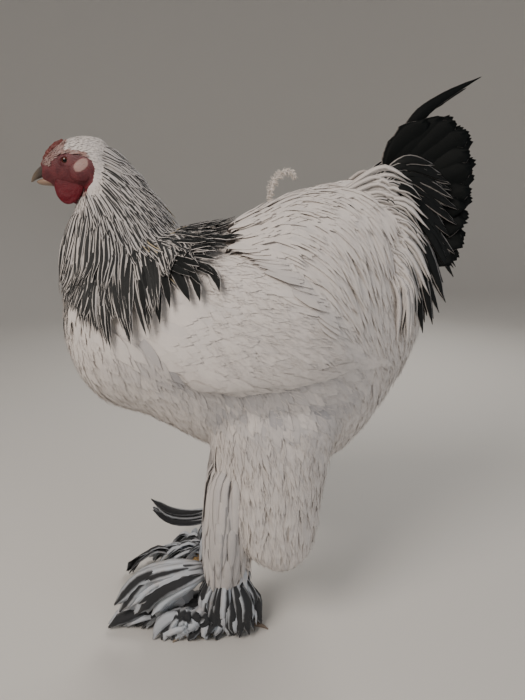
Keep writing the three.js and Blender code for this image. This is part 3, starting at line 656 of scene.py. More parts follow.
points = mesh_points(skin) * 1000 - MIDDLE_SHIFT
wing_depth = depth_inside(points[:, [0, 2]], WING_OUTLINE)
steep = np.clip((points[:, 0] + 130) / 60, 0, 1)
swelling = 9.5 * np.clip(wing_depth / (26 - 14 * steep) + 0.3, 0, 1) ** 1.2 * (np.abs(points[:, 1]) > 60)
swelling *= np.clip((points[:, 0] + 128 - 0.3 * (points[:, 2] - 400)) / 50, 0, 1)
points[:, 1] += np.sign(points[:, 1]) * swelling
points[:, 2] = np.maximum(points[:, 2], 0.4)
skin.data.vertices.foreach_set("co", in_frame(points).ravel())
skin.data.update()
print("skin triangles:", sum(len(p.vertices) - 2 for p in skin.data.polygons))

# %% [markdown]
# ## Where feathers go
# Feathers grow in tracts, and each place on the bird has its own lie, the way the tips point. The lie
# is given at a few named places and runs smoothly between them. Roots are spread over the skin at even
# spacing, with a little chance, as on a living bird.


# %% The skin as a surface to lay feathers on
class Surface:
    def __init__(self, piece):
        mesh = piece.data
        mesh.calc_loop_triangles()
        self.points = mesh_points(piece) * 1000 - MIDDLE_SHIFT
        corners = np.empty(len(mesh.loop_triangles) * 3, int)
        mesh.loop_triangles.foreach_get("vertices", corners)
        self.faces = corners.reshape(-1, 3)
        loops = np.empty(len(mesh.loop_triangles) * 3, int)
        mesh.loop_triangles.foreach_get("loops", loops)
        self.loops = loops.reshape(-1, 3)
        a, b, c = (self.points[self.faces[:, i]] for i in range(3))
        cross = np.cross(b - a, c - a)
        self.areas = np.linalg.norm(cross, axis=1) / 2
        outs = np.zeros_like(self.points)
        for i in range(3):
            np.add.at(outs, self.faces[:, i], cross)
        self.outs = unit(outs)
        self.tree = BVHTree.FromPolygons(self.points.tolist(), self.faces.tolist())
        self.map = None

    def scatter(self, count, where=None):
        """Chance points over the skin, or over the part of it where a test of the place holds."""
        areas = self.areas
        if where:
            areas = areas * where(self.points[self.faces[:, 0]])
        faces = chance.choice(len(self.faces), count, p=areas / areas.sum())
        s, t = chance.random(count), chance.random(count)
        flip = s + t > 1
        s[flip], t[flip] = 1 - s[flip], 1 - t[flip]
        share = np.stack([1 - s - t, s, t], 1)
        corners = self.faces[faces]
        points = (self.points[corners] * share[:, :, None]).sum(1)
        return points, unit((self.outs[corners] * share[:, :, None]).sum(1)), faces

    def nearest(self, points):
        found, faces = [], []
        for p in points.tolist():
            place, _, face, _ = self.tree.find_nearest(p)
            found.append(place)
            faces.append(face)
        faces = np.array(faces)
        return np.array(found), unit(self.outs[self.faces[faces]].sum(1)), faces


CANDIDATES = 170000  # chance points on the skin, from which the coat's roots are taken
surface = Surface(skin)
candidates, candidate_outs, candidate_faces = surface.scatter(CANDIDATES)
print("skin area, square metres:", round(surface.areas.sum() / 1e6, 3))

# %% The lie of the coat
LIE = {
    "forehead": (-240, 0, 605, 1, 0, 0.5), "brow": (-234, 14, 602, 1, 0.03, 0.2),
    "lore": (-250, 9, 590, 0.8, 0, 0.6), "crown": (-205, 0, 615, 1, 0.1, 0),
    "nape": (-170, 0, 598, 0.75, 0.1, -0.65),
    "cheek": (-190, 22, 575, 0.5, 0.1, -0.85), "hind neck": (-118, 25, 548, 0.55, 0.1, -0.85),
    "side neck": (-170, 50, 520, 0.2, 0.02, -1), "low side neck": (-150, 78, 470, 0.15, 0.02, -1),
    "throat": (-235, 10, 535, 0.03, 0, -1), "shoulder": (-95, 95, 470, 0.5, 0.1, -0.85),
    "cape": (-70, 30, 512, 1, 0.25, -0.3), "breast": (-250, 20, 420, 0.14, 0.05, -1),
    "keel": (-200, 25, 300, 0.75, 0.05, -0.65), "side breast": (-150, 105, 400, 0.55, 0.05, -0.85),
    "belly": (-70, 40, 235, 0.9, 0.05, -0.4), "flank": (0, 118, 320, 0.5, 0.05, -0.85),
    "back": (-20, 20, 525, 1, 0.2, 0.1), "rump": (50, 25, 560, 1, 0.3, 0),
    "side back": (20, 100, 450, 0.85, 0.05, -0.5),
    "saddle": (90, 80, 480, 0.5, 0.1, -0.85), "tail head": (140, 12, 575, 0.9, 0.15, 0.35),
    "tail side": (150, 55, 490, 0.4, 0.1, -0.9), "vent": (185, 20, 410, 0.35, 0.05, -0.9),
    "fluff": (140, 40, 300, 0.2, 0.1, -0.95), "thigh front": (-55, 90, 260, 0.12, 0.05, -1),
    "thigh": (10, 130, 240, 0.12, 0.05, -1), "thigh back": (80, 85, 200, -0.05, 0.05, -1),
    "hock": (0, 80, 130, 0.1, 0.05, -1), "shank": (-45, 68, 70, -0.1, 0.1, -1),
    "wing front": (-125, 112, 430, 0.9, 0.05, -0.4), "wing": (-30, 122, 420, 0.94, 0, -0.32),
    "wing tip": (80, 100, 372, 0.95, 0, -0.3),
}
lie_rows = np.array(list(LIE.values()), float)


def lie(points, reach=38.0):
    """The way that tips point at each place, the same on both sides of the bird."""
    folded = points * [1, 0, 1] + np.abs(points) * [0, 1, 0]
    gap = ((folded[:, None, :] - lie_rows[None, :, :3]) ** 2).sum(2)
    weight = np.exp(-(gap - gap.min(1, keepdims=True)) / (2 * reach**2))
    way = unit(weight @ unit(lie_rows[:, 3:]))
    way[:, 1] *= np.sign(points[:, 1] + 1e-6)
    return way


def spaced(points, spacing, among):
    """Which points to keep so that no two are closer than the spacing."""
    kept, cells = [], {}
    steps = (-1, 0, 1)
    around = [(a, b, c) for a in steps for b in steps for c in steps]
    for i in among:
        x, y, z = points[i]
        a, b, c = int(x // spacing), int(y // spacing), int(z // spacing)
        near = False
        for da, db, dc in around:
            for q in cells.get((a + da, b + db, c + dc), ()):
                if (x - q[0]) ** 2 + (y - q[1]) ** 2 + (z - q[2]) ** 2 < spacing**2:
                    near = True
                    break
            if near:
                break
        if not near:
            cells.setdefault((a, b, c), []).append((x, y, z))
            kept.append(i)
    return np.array(kept, int)


# %% [markdown]
# ## One feather, many times
# A feather is a thin closed vane. Its middle line is laid on the skin step by step along the lie. It
# rises quickly from the sunk root and then runs almost level, so the tips lie close over the feathers
# behind them and the coat looks soft. Its section is a flat arch with the quill as a low ridge, and its
# tip is a little ragged. Neighbours draw together at their tips, as barbs cling in life.


# %% Lay feathers
def vary(count, middle, spread):
    """A value with some chance in it, never far from its middle."""
    return middle + spread * np.clip(chance.normal(size=count), -1.6, 1.6)


def lay(roots, outs, length, rise, steps, turn=0.0, sink=1.5, flow=lie, power=0.5, hang=0.0):
    count = len(roots)
    length, rise, turn = (np.broadcast_to(np.asarray(v, float), (count,)) for v in (length, rise, turn))
    at, out = roots, outs
    lines, normals = [at - out * sink], [out]
    way = None
    for k in range(1, steps):
        pull = flow(at)
        side = np.cross(pull, out)
        pull = pull * np.cos(turn)[:, None] + side * np.sin(turn)[:, None]
        pull = unit(pull - (pull * out).sum(1, keepdims=True) * out)
        way = pull if way is None else unit(pull + 0.7 * way)
        at, fresh, _ = surface.nearest(at + way * (length / (steps - 1))[:, None])
        out = unit(fresh + out)
        share = k / (steps - 1)
        height = -sink + (rise + sink) * share**power
        lines.append(at + out * height[:, None] - np.array([0, 0, hang]) * share**2)
        normals.append(out)
    return np.stack(lines, 1), np.stack(normals, 1)


def draw_together(lines, spacing, pull):
    """Feathers lean to the nearest leader of their lock, more towards the tips."""
    leaders = spaced(lines[:, 0].tolist(), spacing, range(len(lines)))
    share = np.linspace(0, 1, lines.shape[1])[None, :, None] ** 1.6 * pull
    moved = lines.copy()
    for part in np.array_split(np.arange(len(lines)), max(1, len(lines) // 800)):
        gap = ((lines[part, None, 2] - lines[None, leaders, 2]) ** 2).sum(2)
        own = leaders[np.argmin(gap, 1)]
        moved[part] = lines[part] + (lines[own] - lines[part]) * share
    return moved


# %% Build feathers
LEAST_HEIGHT = 0.8  # no feather comes nearer the floor than this
coat = []


def vanes(
    name, lines, normals, width, stops, material, numbers, spots, across=5, cup=0.2, thick=0.3, rag=0.8,
    soft=0.55,
):
    """Adds one mesh of closed vanes along the lines to the coat. The stops give a vane's width from
    root to tip, and soft shades the vanes towards the coat's own roundness."""
    count, steps, _ = lines.shape
    sections = across + 1
    shape = np.interp(np.linspace(0, 1, steps), *zip(*stops))
    width = np.broadcast_to(np.asarray(width, float), (count,))
    tangent = unit(np.gradient(lines, axis=1))
    aside = unit(np.cross(tangent, normals))
    out = np.cross(aside, tangent)
    half = width[:, None] * shape[None, :] / 2
    u = np.linspace(-1, 1, across)
    built = np.empty((count, steps, sections, 3))
    shading = np.empty((count, steps, sections, 3))
    sweep = np.linspace(0, 1, steps)[None, :, None]
    for j in range(across):
        quill = 1.4 if abs(u[j]) < 1e-6 else 1.0
        drop = cup * half * u[j] ** 2 - quill * thick * (1 - u[j] ** 2) / 2
        edge = 1 + (chance.random((count, steps)) - 0.5) * 0.16 * abs(u[j])
        built[:, :, j] = lines + aside * (half * u[j] * edge)[:, :, None] - out * drop[:, :, None]
        built[:, :, j] -= tangent * (u[j] ** 2 * half * 0.4)[:, :, None] * sweep
        fringe = rag * (chance.random(count) * 1.2 + (0.9 if j % 2 else -0.4))
        built[:, -1, j] += tangent[:, -1] * fringe[:, None]
        shading[:, :, j] = unit(soft * normals + (1 - soft) * unit(out + aside * u[j] * cup * 2))
    built[:, :, across] = lines - out * (cup * half * 0.45 + thick * 0.8)[:, :, None]
    shading[:, :, across] = out
    built[..., 2] = np.maximum(built[..., 2], LEAST_HEIGHT + 0.4 * chance.random((count, steps, sections)))
    ring = np.arange(sections)
    following = np.roll(ring, -1)
    quads = []
    for k in range(steps - 1):
        a, b = k * sections, (k + 1) * sections
        quads.append(np.stack([a + ring, a + following, b + following, b + ring], 1))
    quads = np.concatenate(quads)
    caps = []
    for base, order in ((0, ring[::-1]), ((steps - 1) * sections, ring)):
        for i in range(1, sections - 1):
            caps.append([base + order[0], base + order[i], base + order[i + 1]])
    caps = np.array(caps)
    each = steps * sections
    offsets = np.arange(count)[:, None, None] * each
    quad_all = (quads[None] + offsets).reshape(-1)
    cap_all = (caps[None] + offsets).reshape(-1)
    loops = np.concatenate([quad_all, cap_all])
    quad_total, cap_total = len(quad_all) // 4, len(cap_all) // 3
    starts = np.concatenate([np.arange(quad_total) * 4, quad_total * 4 + np.arange(cap_total) * 3])
    mesh = bpy.data.meshes.new(name)
    mesh.vertices.add(count * each)
    mesh.vertices.foreach_set("co", in_frame(built.reshape(-1, 3)).ravel())
    mesh.loops.add(len(loops))
    mesh.loops.foreach_set("vertex_index", loops.astype(np.int32))
    mesh.polygons.add(quad_total + cap_total)
    mesh.polygons.foreach_set("loop_start", starts.astype(np.int32))
    mesh.update(calc_edges=True)
    mesh.polygons.foreach_set("use_smooth", np.ones(quad_total + cap_total, bool))
    own = np.stack(
        [np.tile(np.append((u + 1) / 2, 0.5), steps), np.repeat(np.linspace(0, 1, steps), sections)], 1,
    )
    place, feather = loops % each, loops // each
    vane_map = mesh.uv_layers.new(name="Vane")
    vane_map.data.foreach_set("uv", own[place].ravel())
    bake = mesh.uv_layers.new(name="OFBake")
    patch = np.clip(spots[feather] + (own[place] - 0.5) * 0.003, 0, 1)
    bake.data.foreach_set("uv", patch.ravel())
    four = np.stack([np.broadcast_to(np.asarray(n, float), (count,)) for n in numbers], 1)
    colours = mesh.color_attributes.new("Feather", "FLOAT_COLOR", "POINT")
    colours.data.foreach_set("color", np.repeat(four, each, axis=0).ravel())
    mesh.materials.append(material)
    if soft > 0:
        corner_normals = shading.reshape(-1, 3)[loops]
        under = np.tile(np.repeat(ring >= across - 1, 4), quad_total // sections)
        beneath = -np.repeat(out.reshape(-1, 3), sections, axis=0)[quad_all]
        corner_normals[: len(quad_all)][under] = beneath[under]
        mesh.normals_split_custom_set(corner_normals)
    piece = bpy.data.objects.new(name, mesh)
    bpy.context.scene.collection.objects.link(piece)
    coat.append(piece)
    print(f"{name}: {count} feathers, {quad_total * 2 + cap_total} triangles")
    return piece


# %% [markdown]
# ## The skin's own map
# Each feather gets a small patch on a map that is laid out as the skin is unwrapped, at the place
# where its root stands.

# %% Unwrap the skin
select_only(skin)
edit_all()
bpy.ops.uv.smart_project(angle_limit=math.radians(70), island_margin=0.003)
bpy.ops.object.mode_set(mode="OBJECT")
skin.data.uv_layers[0].name = "OFBake"
skin_uv = np.empty(len(skin.data.loops) * 2)
skin.data.uv_layers[0].data.foreach_get("uv", skin_uv)
surface.map = skin_uv.reshape(-1, 2)[surface.loops].mean(1)
print("skin unwrapped,", len(surface.map), "triangles")

# %% [markdown]
# ## The white body coat
# Small rounded feathers cover the breast, back, flanks and thighs. They get longer and looser towards
# the thighs and the fluff under the tail.

# %% Tracts of the body
X, Y, Z = candidates[:, 0], np.abs(candidates[:, 1]), candidates[:, 2]
FACE_OUTLINE = np.array([
    [-270, 560], [-258, 586], [-247, 583], [-242, 590], [-237, 594], [-228, 598], [-212, 597], [-202, 594],
    [-193, 590], [-190, 580], [-194, 566], [-203, 557], [-222, 551], [-250, 550],
], float)
side_view = np.stack([X, Z], 1)
in_face = depth_inside(side_view, FACE_OUTLINE)
on_foot = Z < 62
near_head = (Z > 556) & (X < -186) | (Z > 540) & (X < -205)
on_neck = (Z > 452 + (X + 240) * 0.3) & (X < -84) & ~near_head & (Z < 606)
on_shank = (Z < 112) & ~on_foot & (X < -2)
loose = ((Z < 300) & (X > -80) & ~on_foot & ~on_shank) | ((X > 120) & (Z < 480))
in_wing = np.where(Y > 70, depth_inside(side_view, WING_OUTLINE), -99)
cape_place = (X > -116) & (X < -72) & (Z > 472) & (Y < 108)
plain = ~(near_head | on_foot | on_shank | loose | (in_wing > 6) | (in_face > 0)) & (Z < 540)


def hem(x):
    """The height where the hackle ends, along the bird."""
    return np.interp(
        x, [-250, -225, -202, -180, -160, -143, -125, -108, -90],
        [485, 462, 436, 408, 394, 390, 402, 436, 462],
    )


def tract(mask, spacing):
    chosen = spaced(candidates.tolist(), spacing, np.flatnonzero(mask))
    return candidates[chosen], candidate_outs[chosen], surface.map[candidate_faces[chosen]]


def grey_and_painted_shade(points):
    """Grey in soft clouds: the grey undercolour, and painted shade under the wing, along its upper edge over
    the back and at the side of the breast before it."""
    p = points * [1, 0, 1] + np.abs(points) * [0, 1, 0]
    spots = [
        (-128, 100, 388, 22, 0.55), (-95, 110, 372, 20, 0.4), (-60, 115, 334, 24, 0.75),
        (-168, 90, 389, 9, 0.6),
        (-30, 96, 500, 15, 0.75), (0, 96, 486, 15, 0.8), (22, 105, 462, 13, 0.5), (-10, 115, 328, 28, 0.75),
        (40, 112, 330, 28, 0.7), (92, 92, 340, 24, 0.5), (40, 115, 420, 20, 0.2),
    ]
    total = np.zeros(len(p))
    for x, y, z, size, depth in spots:
        total += depth * np.exp(-((p - [x, y, z]) ** 2).sum(1) / (2 * size**2))
    cloud = np.array([noise.noise(Vector(q) / 19) for q in points.tolist()])
    patchy = np.clip(0.62 + 1.1 * cloud, 0, 1.2) * (0.75 + 0.25 * chance.random(len(p)))
    return np.clip(total * patchy, 0, 0.9)


def back_lift(outs, roots):
    """How much deeper the coat is along the back and the back of the neck than at the sides."""
    upward = np.clip((outs[:, 2] - 0.25) / 0.5, 0, 1)
    return upward * (roots[:, 2] > 430) * np.clip((150 - roots[:, 0]) / 60, 0, 1)


rounded = [(0, 0.3), (0.25, 0.8), (0.55, 1), (0.8, 0.75), (1, 0.1)]
roots, outs, spots = tract(plain, 6.0)
n = len(roots)
x, z = roots[:, 0], roots[:, 2]
covered = (x < -80) & (z > hem(x) + 12) | (x < -45) & (z > 455)
rise = np.where(covered, 4, vary(n, 9.2, 0.3) + 8 * back_lift(outs, roots))
lines, normals = lay(roots, outs, vary(n, 42, 4), rise, 6, vary(n, 0, 0.16), power=0.28)
lines = draw_together(lines, 17, 0.12)
half = np.arange(n) % 2 == 0
# Their grey is undercolour, with painted shade under and along the wing.
for part, name in ((half, "body_coat_one"), (~half, "body_coat_two")):
    vanes(
        name, lines[part], normals[part], vary(part.sum(), 16, 1.5), rounded, white_coat,
        (0, 0.4 * chance.random(part.sum()), grey_and_painted_shade(roots[part]), 0), spots[part], cup=0.1, thick=0.14,
        rag=0.9, soft=0.88,
    )

# %% Loose feathers of the thighs and under the tail
roots, outs, spots = tract(loose, 5.6)
n = len(roots)
lines, normals = lay(roots, outs, vary(n, 50, 6), vary(n, 10.2, 1.0), 6, vary(n, 0, 0.2), power=0.35)
lines = draw_together(lines, 15, 0.25)
soft_shape = [(0, 0.3), (0.3, 0.9), (0.7, 0.85), (1, 0.15)]
dark_fleck = (chance.random(n) < 0.003) * 0.5
half = np.arange(n) % 2 == 0
# Their grey is partly undercolour and partly painted shade under the wing.
for part, name in ((half, "thigh_coat_one"), (~half, "thigh_coat_two")):
    vanes(
        name, lines[part], normals[part], vary(part.sum(), 10, 2), soft_shape, white_coat,
        (
            dark_fleck[part], 0.6 * chance.random(part.sum()),
            np.maximum(grey_and_painted_shade(roots[part]), 0.2 * chance.random(part.sum()) ** 3), 0,
        ),
        spots[part], rag=2.0, cup=0.12, thick=0.22, soft=0.8,
    )

# %% [markdown]
# ## Hackle
# The neck hackle is a cape of long narrow feathers. Each has a dark stripe down its middle and pale
# edges. Near the head they are short and their stripes narrow. The lowest are long and mostly black.

# %% Neck feathers
roots, outs, spots = tract(on_neck, 3.3)
n = len(roots)
height = np.clip((roots[:, 2] - 460) / 140, 0, 1)
front = np.clip((-roots[:, 0] - 205) / 35, 0, 1)
rear = np.clip(outs[:, 0] / 0.5, 0, 1)
rise = vary(n, 9.0 - 4 * height, 0.8) + 7 * rear * (1 - 0.5 * height)
lines, normals = lay(roots, outs, vary(n, 68 - 42 * height, 4), rise, 8, vary(n, 0, 0.03), power=0.4)
lines = draw_together(lines, 7, 0.3)
narrow = [(0, 0.4), (0.3, 1), (0.75, 0.95), (0.93, 0.6), (1, 0.1)]
darkness = np.clip(0.66 - 0.36 * height - 0.1 * front + 0.10 * chance.normal(size=n), 0.0, 0.8)
brassy = (roots[:, 0] > -150) & (chance.random(n) < 0.10)
vanes(
    "neck_hackle", lines, normals, vary(n, 4.8, 0.6), narrow, striped_hackle,
    (darkness, chance.random(n), 0.13 + 0.2 * height, brassy * 0.8), spots, across=3, cup=0.35, rag=0.5,
    soft=0.35,
)

# %% Long lower hackle
low_hackle = (Z > 446 + (X + 240) * 0.22) & (Z < 535) & (X < -88) & (X > -243)
roots, outs, spots = tract(low_hackle, 4.9)
reach_down = (roots[:, 2] - hem(roots[:, 0] + 8)) * 1.08
kept = (reach_down > 26) & (reach_down < 135)
roots, outs, spots, reach_down = roots[kept], outs[kept], spots[kept], reach_down[kept]
n = len(roots)
front = np.clip((-roots[:, 0] - 195) / 40, 0, 1)
lines, normals = lay(
    roots, outs, reach_down * (1.06 - 0.5 * chance.random(n) ** 1.3),
    vary(n, 11.5, 1.0) + 5 * back_lift(outs, roots), 10, vary(n, 0, 0.03),
    flow=lambda p: unit(lie(p) * 0.4 + np.array([0.06, 0, -1])), power=0.35,
)
lines = draw_together(lines, 13, 0.6)
darkness = np.clip(0.72 - 0.52 * front + 0.12 * chance.normal(size=n), 0.03, 0.9)
vanes(
    "lower_hackle", lines, normals, vary(n, 6.2, 0.8),
    [(0, 0.3), (0.35, 0.9), (0.65, 1), (0.86, 0.6), (1, 0.04)],
    striped_hackle, (darkness, chance.random(n), 0.1, 0), spots, across=3, cup=0.35, rag=0.3, soft=0.35,
)

# %% [markdown]
# ## Cape
# Behind the hackle a few rows of broad black feathers with white edges lie over the shoulders. They
# spread as a fan, the lower ones pointing down and the upper ones back.


# %% Cape feathers
def cape_flow(p):
    high = np.clip((p[:, 2] - 440) / 75, 0, 1)
    return unit(np.stack([0.35 + 0.75 * high, 0.1 * np.sign(p[:, 1]), -1 + 0.95 * high], 1))


roots, outs, spots = tract(cape_place, 9.0)
n = len(roots)
rise = vary(n, 12, 1.0) + 6 * back_lift(outs, roots)
lines, normals = lay(roots, outs, vary(n, 50, 9), rise, 9, vary(n, 0, 0.18), flow=cape_flow, power=0.25)
lines = draw_together(lines, 22, 0.35)
vanes(
    "cape", lines, normals, vary(n, 10, 2.5), [(0, 0.3), (0.3, 0.8), (0.55, 1), (0.8, 0.75), (1, 0.05)],
    laced_black, (np.clip(vary(n, 0.86, 0.08), 0.3, 0.97), chance.random(n), 0.2, 0), spots, cup=0.25,
    rag=0.3, soft=0.3,
)

# The lowest of the cape are the largest, and hang down over the shoulder.
LOWEST = [
    ((-132, 512), (-124, 448), 12), ((-122, 500), (-105, 430), 12), ((-104, 505), (-76, 450), 12),
    ((-114, 514), (-96, 452), 9), ((-92, 508), (-54, 474), 9), ((-98, 518), (-66, 470), 8),
]
for name, side in SIDES.items():
    aims = np.array([(x1 - x0, 0, z1 - z0) for (x0, z0), (x1, z1), _ in LOWEST], float)
    ends = np.array([(x0, side * 96, z0) for (x0, z0), _, _ in LOWEST], float)
    roots, outs, faces = surface.nearest(ends)
    lines, normals = lay(
        roots, outs, np.linalg.norm(aims, axis=1), vary(len(aims), 17, 0.8), 10,
        flow=lambda p: unit(aims), power=0.3,
    )
    vanes(
        "hanging_cape_" + name, lines, normals, [w for _, _, w in LOWEST],
        [(0, 0.3), (0.3, 0.8), (0.6, 1), (0.82, 0.7), (1, 0.03)], laced_black,
        (0.93, 0.5, 0.2, 0), surface.map[faces], cup=0.25, rag=0.2, soft=0.3,
    )

# %% [markdown]
# ## Saddle
# The saddle hackle flows from the back down over the wing tips and the root of the tail, in long
# narrow white feathers.


# %% Saddle feathers
def saddle_flow(p):
    down = np.clip(p[:, 0] / 200, 0, 0.6)
    way = np.stack([1 - np.clip(p[:, 0] / 130, 0, 0.8), 0 * down, -0.5 - down], 1)
    return unit(0.6 * unit(way) + 0.4 * lie(p))


saddle_place = (X > -30) & (X < 200) & (Z > 440 + np.clip(X, 0, 100) * 0.1) & (in_wing < -2)
roots, outs, spots = tract(saddle_place, 5.6)
n = len(roots)
near_wing = np.clip(1 + depth_inside(roots[:, [0, 2]], WING_OUTLINE) / 25, 0, 1) * (np.abs(roots[:, 1]) > 60)
rise = vary(n, 10.5, 0.5) - 4 * near_wing + 8 * back_lift(outs, roots)
lines, normals = lay(roots, outs, vary(n, 84, 9), rise, 9, vary(n, 0, 0.05), flow=saddle_flow, power=0.4)
lines = draw_together(lines, 14, 0.3)
dark_streak = (chance.random(n) < 0.012) * 0.3
# Grey undercolour, with painted shade along the wing's upper edge.
grey = np.maximum(grey_and_painted_shade(roots), 0.15 * chance.random(n) ** 3)
vanes(
    "saddle_hackle", lines, normals, vary(n, 8.6, 1.1), [(0, 0.3), (0.35, 0.9), (0.7, 0.85), (1, 0.05)],
    white_coat, (dark_streak, 0.6 * chance.random(n), grey, 0), spots, cup=0.1, thick=0.16, rag=0.5,
    soft=0.78,
)

# %% [markdown]
# ## Wing
# The folded wing shows three tiers from front to back, each of longer feathers than the last. It lies
# over the flank, and a row of feathers along its lower edge casts a thin shadow.


# %% Wing feathers
def wing_flow(p):
    return unit(np.stack([250 - p[:, 0], 0 * p[:, 0], 330 - p[:, 2]], 1))


for name, low, high, spacing, length, width, rise in [
    ("wing_coverts_small", -142, -40, 6.0, 40, 15, 7.5), ("wing_coverts_middle", -80, 4, 7.5, 56, 18, 7.0),
    ("wing_flights", -30, 104, 9.0, 74, 21, 6.6),
]:
    roots, outs, spots = tract((in_wing > 0) & (X > low) & (X <= high), spacing)
    n = len(roots)
    x, z = roots[:, 0], roots[:, 2]
    covered = (x < -80) & (z > hem(x)) | (x < -62) & (z > 440)
    rise = np.where(covered, 4.0, rise)
    lines, normals = lay(
        roots, outs, vary(n, length, 4), vary(n, rise, 0.4), 8, vary(n, 0, 0.06), flow=wing_flow,
        power=0.3,
    )
    vanes(
        name, lines, normals, vary(n, width, 1.5), [(0, 0.4), (0.3, 0.9), (0.6, 1), (0.85, 0.7), (1, 0.1)],
        white_coat, (0, 0.4 * chance.random(n), 0.12 * chance.random(n) ** 3, 0), spots, cup=0.08,
        rag=0.8, thick=0.14, soft=0.85,
    )

# %% The wing's edge
roots, outs, spots = tract((in_wing > 2) & (in_wing < 15) & (X > -96) & ((Z < 395) | (X > -20)), 6.5)
n = len(roots)
lines, normals = lay(
    roots, outs, vary(n, 54, 6), vary(n, 10.2, 0.7), 9, vary(n, 0, 0.05), flow=wing_flow, power=0.3,
)
vanes(
    "wing_edge", lines, normals, vary(n, 16, 1.5), [(0, 0.4), (0.3, 0.9), (0.6, 1), (0.85, 0.7), (1, 0.08)],
    white_coat, (0, 0.4 * chance.random(n), 0.1 * chance.random(n) ** 3, 0), spots, cup=0.16, rag=0.8,
    thick=0.3, soft=0.55,
)

# %% [markdown]
# ## Tail
# The tail feathers stand in two leaning rows that meet along the top, like a tent, with two long
# sickles over them. Black coverts with white edges arch over their roots and hang down at the sides.
# Each follows its own curve.


# %% Free curves
def smooth_path(points, steps):
    """A smooth curve through a few points, at even steps."""
    points = np.array(points, float)
    padded = np.vstack([2 * points[0] - points[1], points, 2 * points[-1] - points[-2]])
    fine = []
    for i in range(1, len(points)):
        a, b, c, d = padded[i - 1 : i + 3]
        for t in np.linspace(0, 1, 24, endpoint=False):
            bend, twist = 2 * a - 5 * b + 4 * c - d, 3 * b - a - 3 * c + d
            fine.append(0.5 * (2 * b + (c - a) * t + bend * t**2 + twist * t**3))
    fine.append(points[-1])
    fine = np.array(fine)
    run = np.append(0, np.cumsum(np.linalg.norm(np.diff(fine, axis=0), axis=1)))
    at = np.linspace(0, run[-1], steps)
    return np.stack([np.interp(at, run, fine[:, i]) for i in range(3)], 1)


def fan(name, feathers, steps, stops, material, numbers, across=7, cup=0.12, thick=0.6, rag=1.5):
    """Feathers on free curves: each has its path, the way its face looks and its width."""
    lines = np.array([smooth_path(path, steps) for path, _, _ in feathers])
    looks = np.array([np.tile(unit(np.array(look, float)), (steps, 1)) for _, look, _ in feathers])
    widths = np.array([width for _, _, width in feathers])
    spots = surface.map[surface.nearest(lines[:, 0])[2]]
    return vanes(
        name, lines, looks, widths, stops, material, numbers, spots, across, cup, thick, rag, soft=0.0,
    )


# %% Tail feathers and sickles
TAIL_TIPS = np.array([
    (194, 632), (210, 633), (223, 629), (234, 618), (240, 600), (243, 580), (242, 560), (239, 540),
    (237, 520),
    (233, 500), (222, 476),
], float)
main = []
for side in SIDES.values():
    for layer in (0, 1):
        for i in range(10 + layer):
            at = i + (0.5 if layer == 0 else 0)
            x, z = (np.interp(at, range(11), TAIL_TIPS[:, k]) for k in (0, 1))
            x, z = x - 8 * layer * chance.random() + 2 * chance.random() - 6, z + 7 * chance.random() - 4
            share = at / 10
            root = (146 + 26 * share, side * (3 + 10 * share), 556 - 62 * share)
            spread = side * (5 + 34 * share + 4 * layer + 3 * chance.random())
            middle = ((root[0] + x) / 2 - 6 + 6 * share, side * (6 + 22 * share), (root[2] + z) / 2 + 7)
            look = (0.05 + 0.1 * chance.normal(), side, 0.25)
            main.append(([root, middle, (x, spread, z)], look, 34 + 5 * chance.random()))
broad = [(0, 0.3), (0.2, 0.7), (0.6, 1), (0.85, 0.97), (0.95, 0.75), (1, 0.35)]
tail = fan("tail_feathers", main, 16, broad, tail_black, (1, 0.5, 0, 0), cup=0.2, rag=2.4)
sickles = []
for side, (x, z) in ((-1, (243, 678)), (1, (230, 668))):
    path = [
        (150, side * 2.2, 556), (159, side * 2.6, 606), (182, side * 3, 642),
        (x - 28, side * 3.6, z - 14), (x, side * 4, z),
    ]
    sickles.append((path, (0, side, 0), 15))
pointed = [(0, 0.3), (0.25, 0.8), (0.55, 1), (0.8, 0.6), (1, 0.06)]
fan("sickles", sickles, 22, pointed, tail_black, (1, 0.5, 0, 0))

# %% Coverts of the tail
COVERTS = 44  # tail coverts on each side
coverts = []
for side in SIDES.values():
    for i in range(COVERTS):
        share = (i + chance.random()) / COVERTS
        x0, z0 = 116 + 30 * share + 16 * chance.random(), 566 - 70 * share
        x1 = np.interp(share, [0, 0.2, 0.5, 0.8, 1], [204, 222, 226, 214, 196]) - 18 * chance.random()
        z1 = np.interp(share, [0, 0.2, 0.5, 0.8, 1], [578, 540, 480, 425, 392]) + 8 * chance.random()
        bow = 15 + 8 * chance.random()
        y0 = 20 + 22 * share
        path = [
            (x0, side * y0, z0),
            ((x0 * 0.6 + x1 * 0.4) + 4, side * (y0 + 9), z0 * 0.6 + z1 * 0.4 + bow),
            (x1, side * (y0 + 6 + 5 * chance.random()), z1),
        ]
        coverts.append((path, (0.1, side, 0.25 + 0.1 * chance.normal()), 9 + 4 * chance.random()))
n = len(coverts)
fan(
    "tail_coverts", coverts, 12, [(0, 0.3), (0.3, 0.9), (0.65, 1), (0.88, 0.6), (1, 0.08)], laced_black,
    (np.clip(vary(n, 0.86, 0.1), 0.1, 1), chance.random(n), 0.2, 0), across=5, thick=0.4, rag=0.6,
)

# %% [markdown]
# The last white feathers of the saddle hang over the roots of the black coverts, and one covert with
# clear white edges stands out above them. On the back one loose feather curls up, as in the pose.

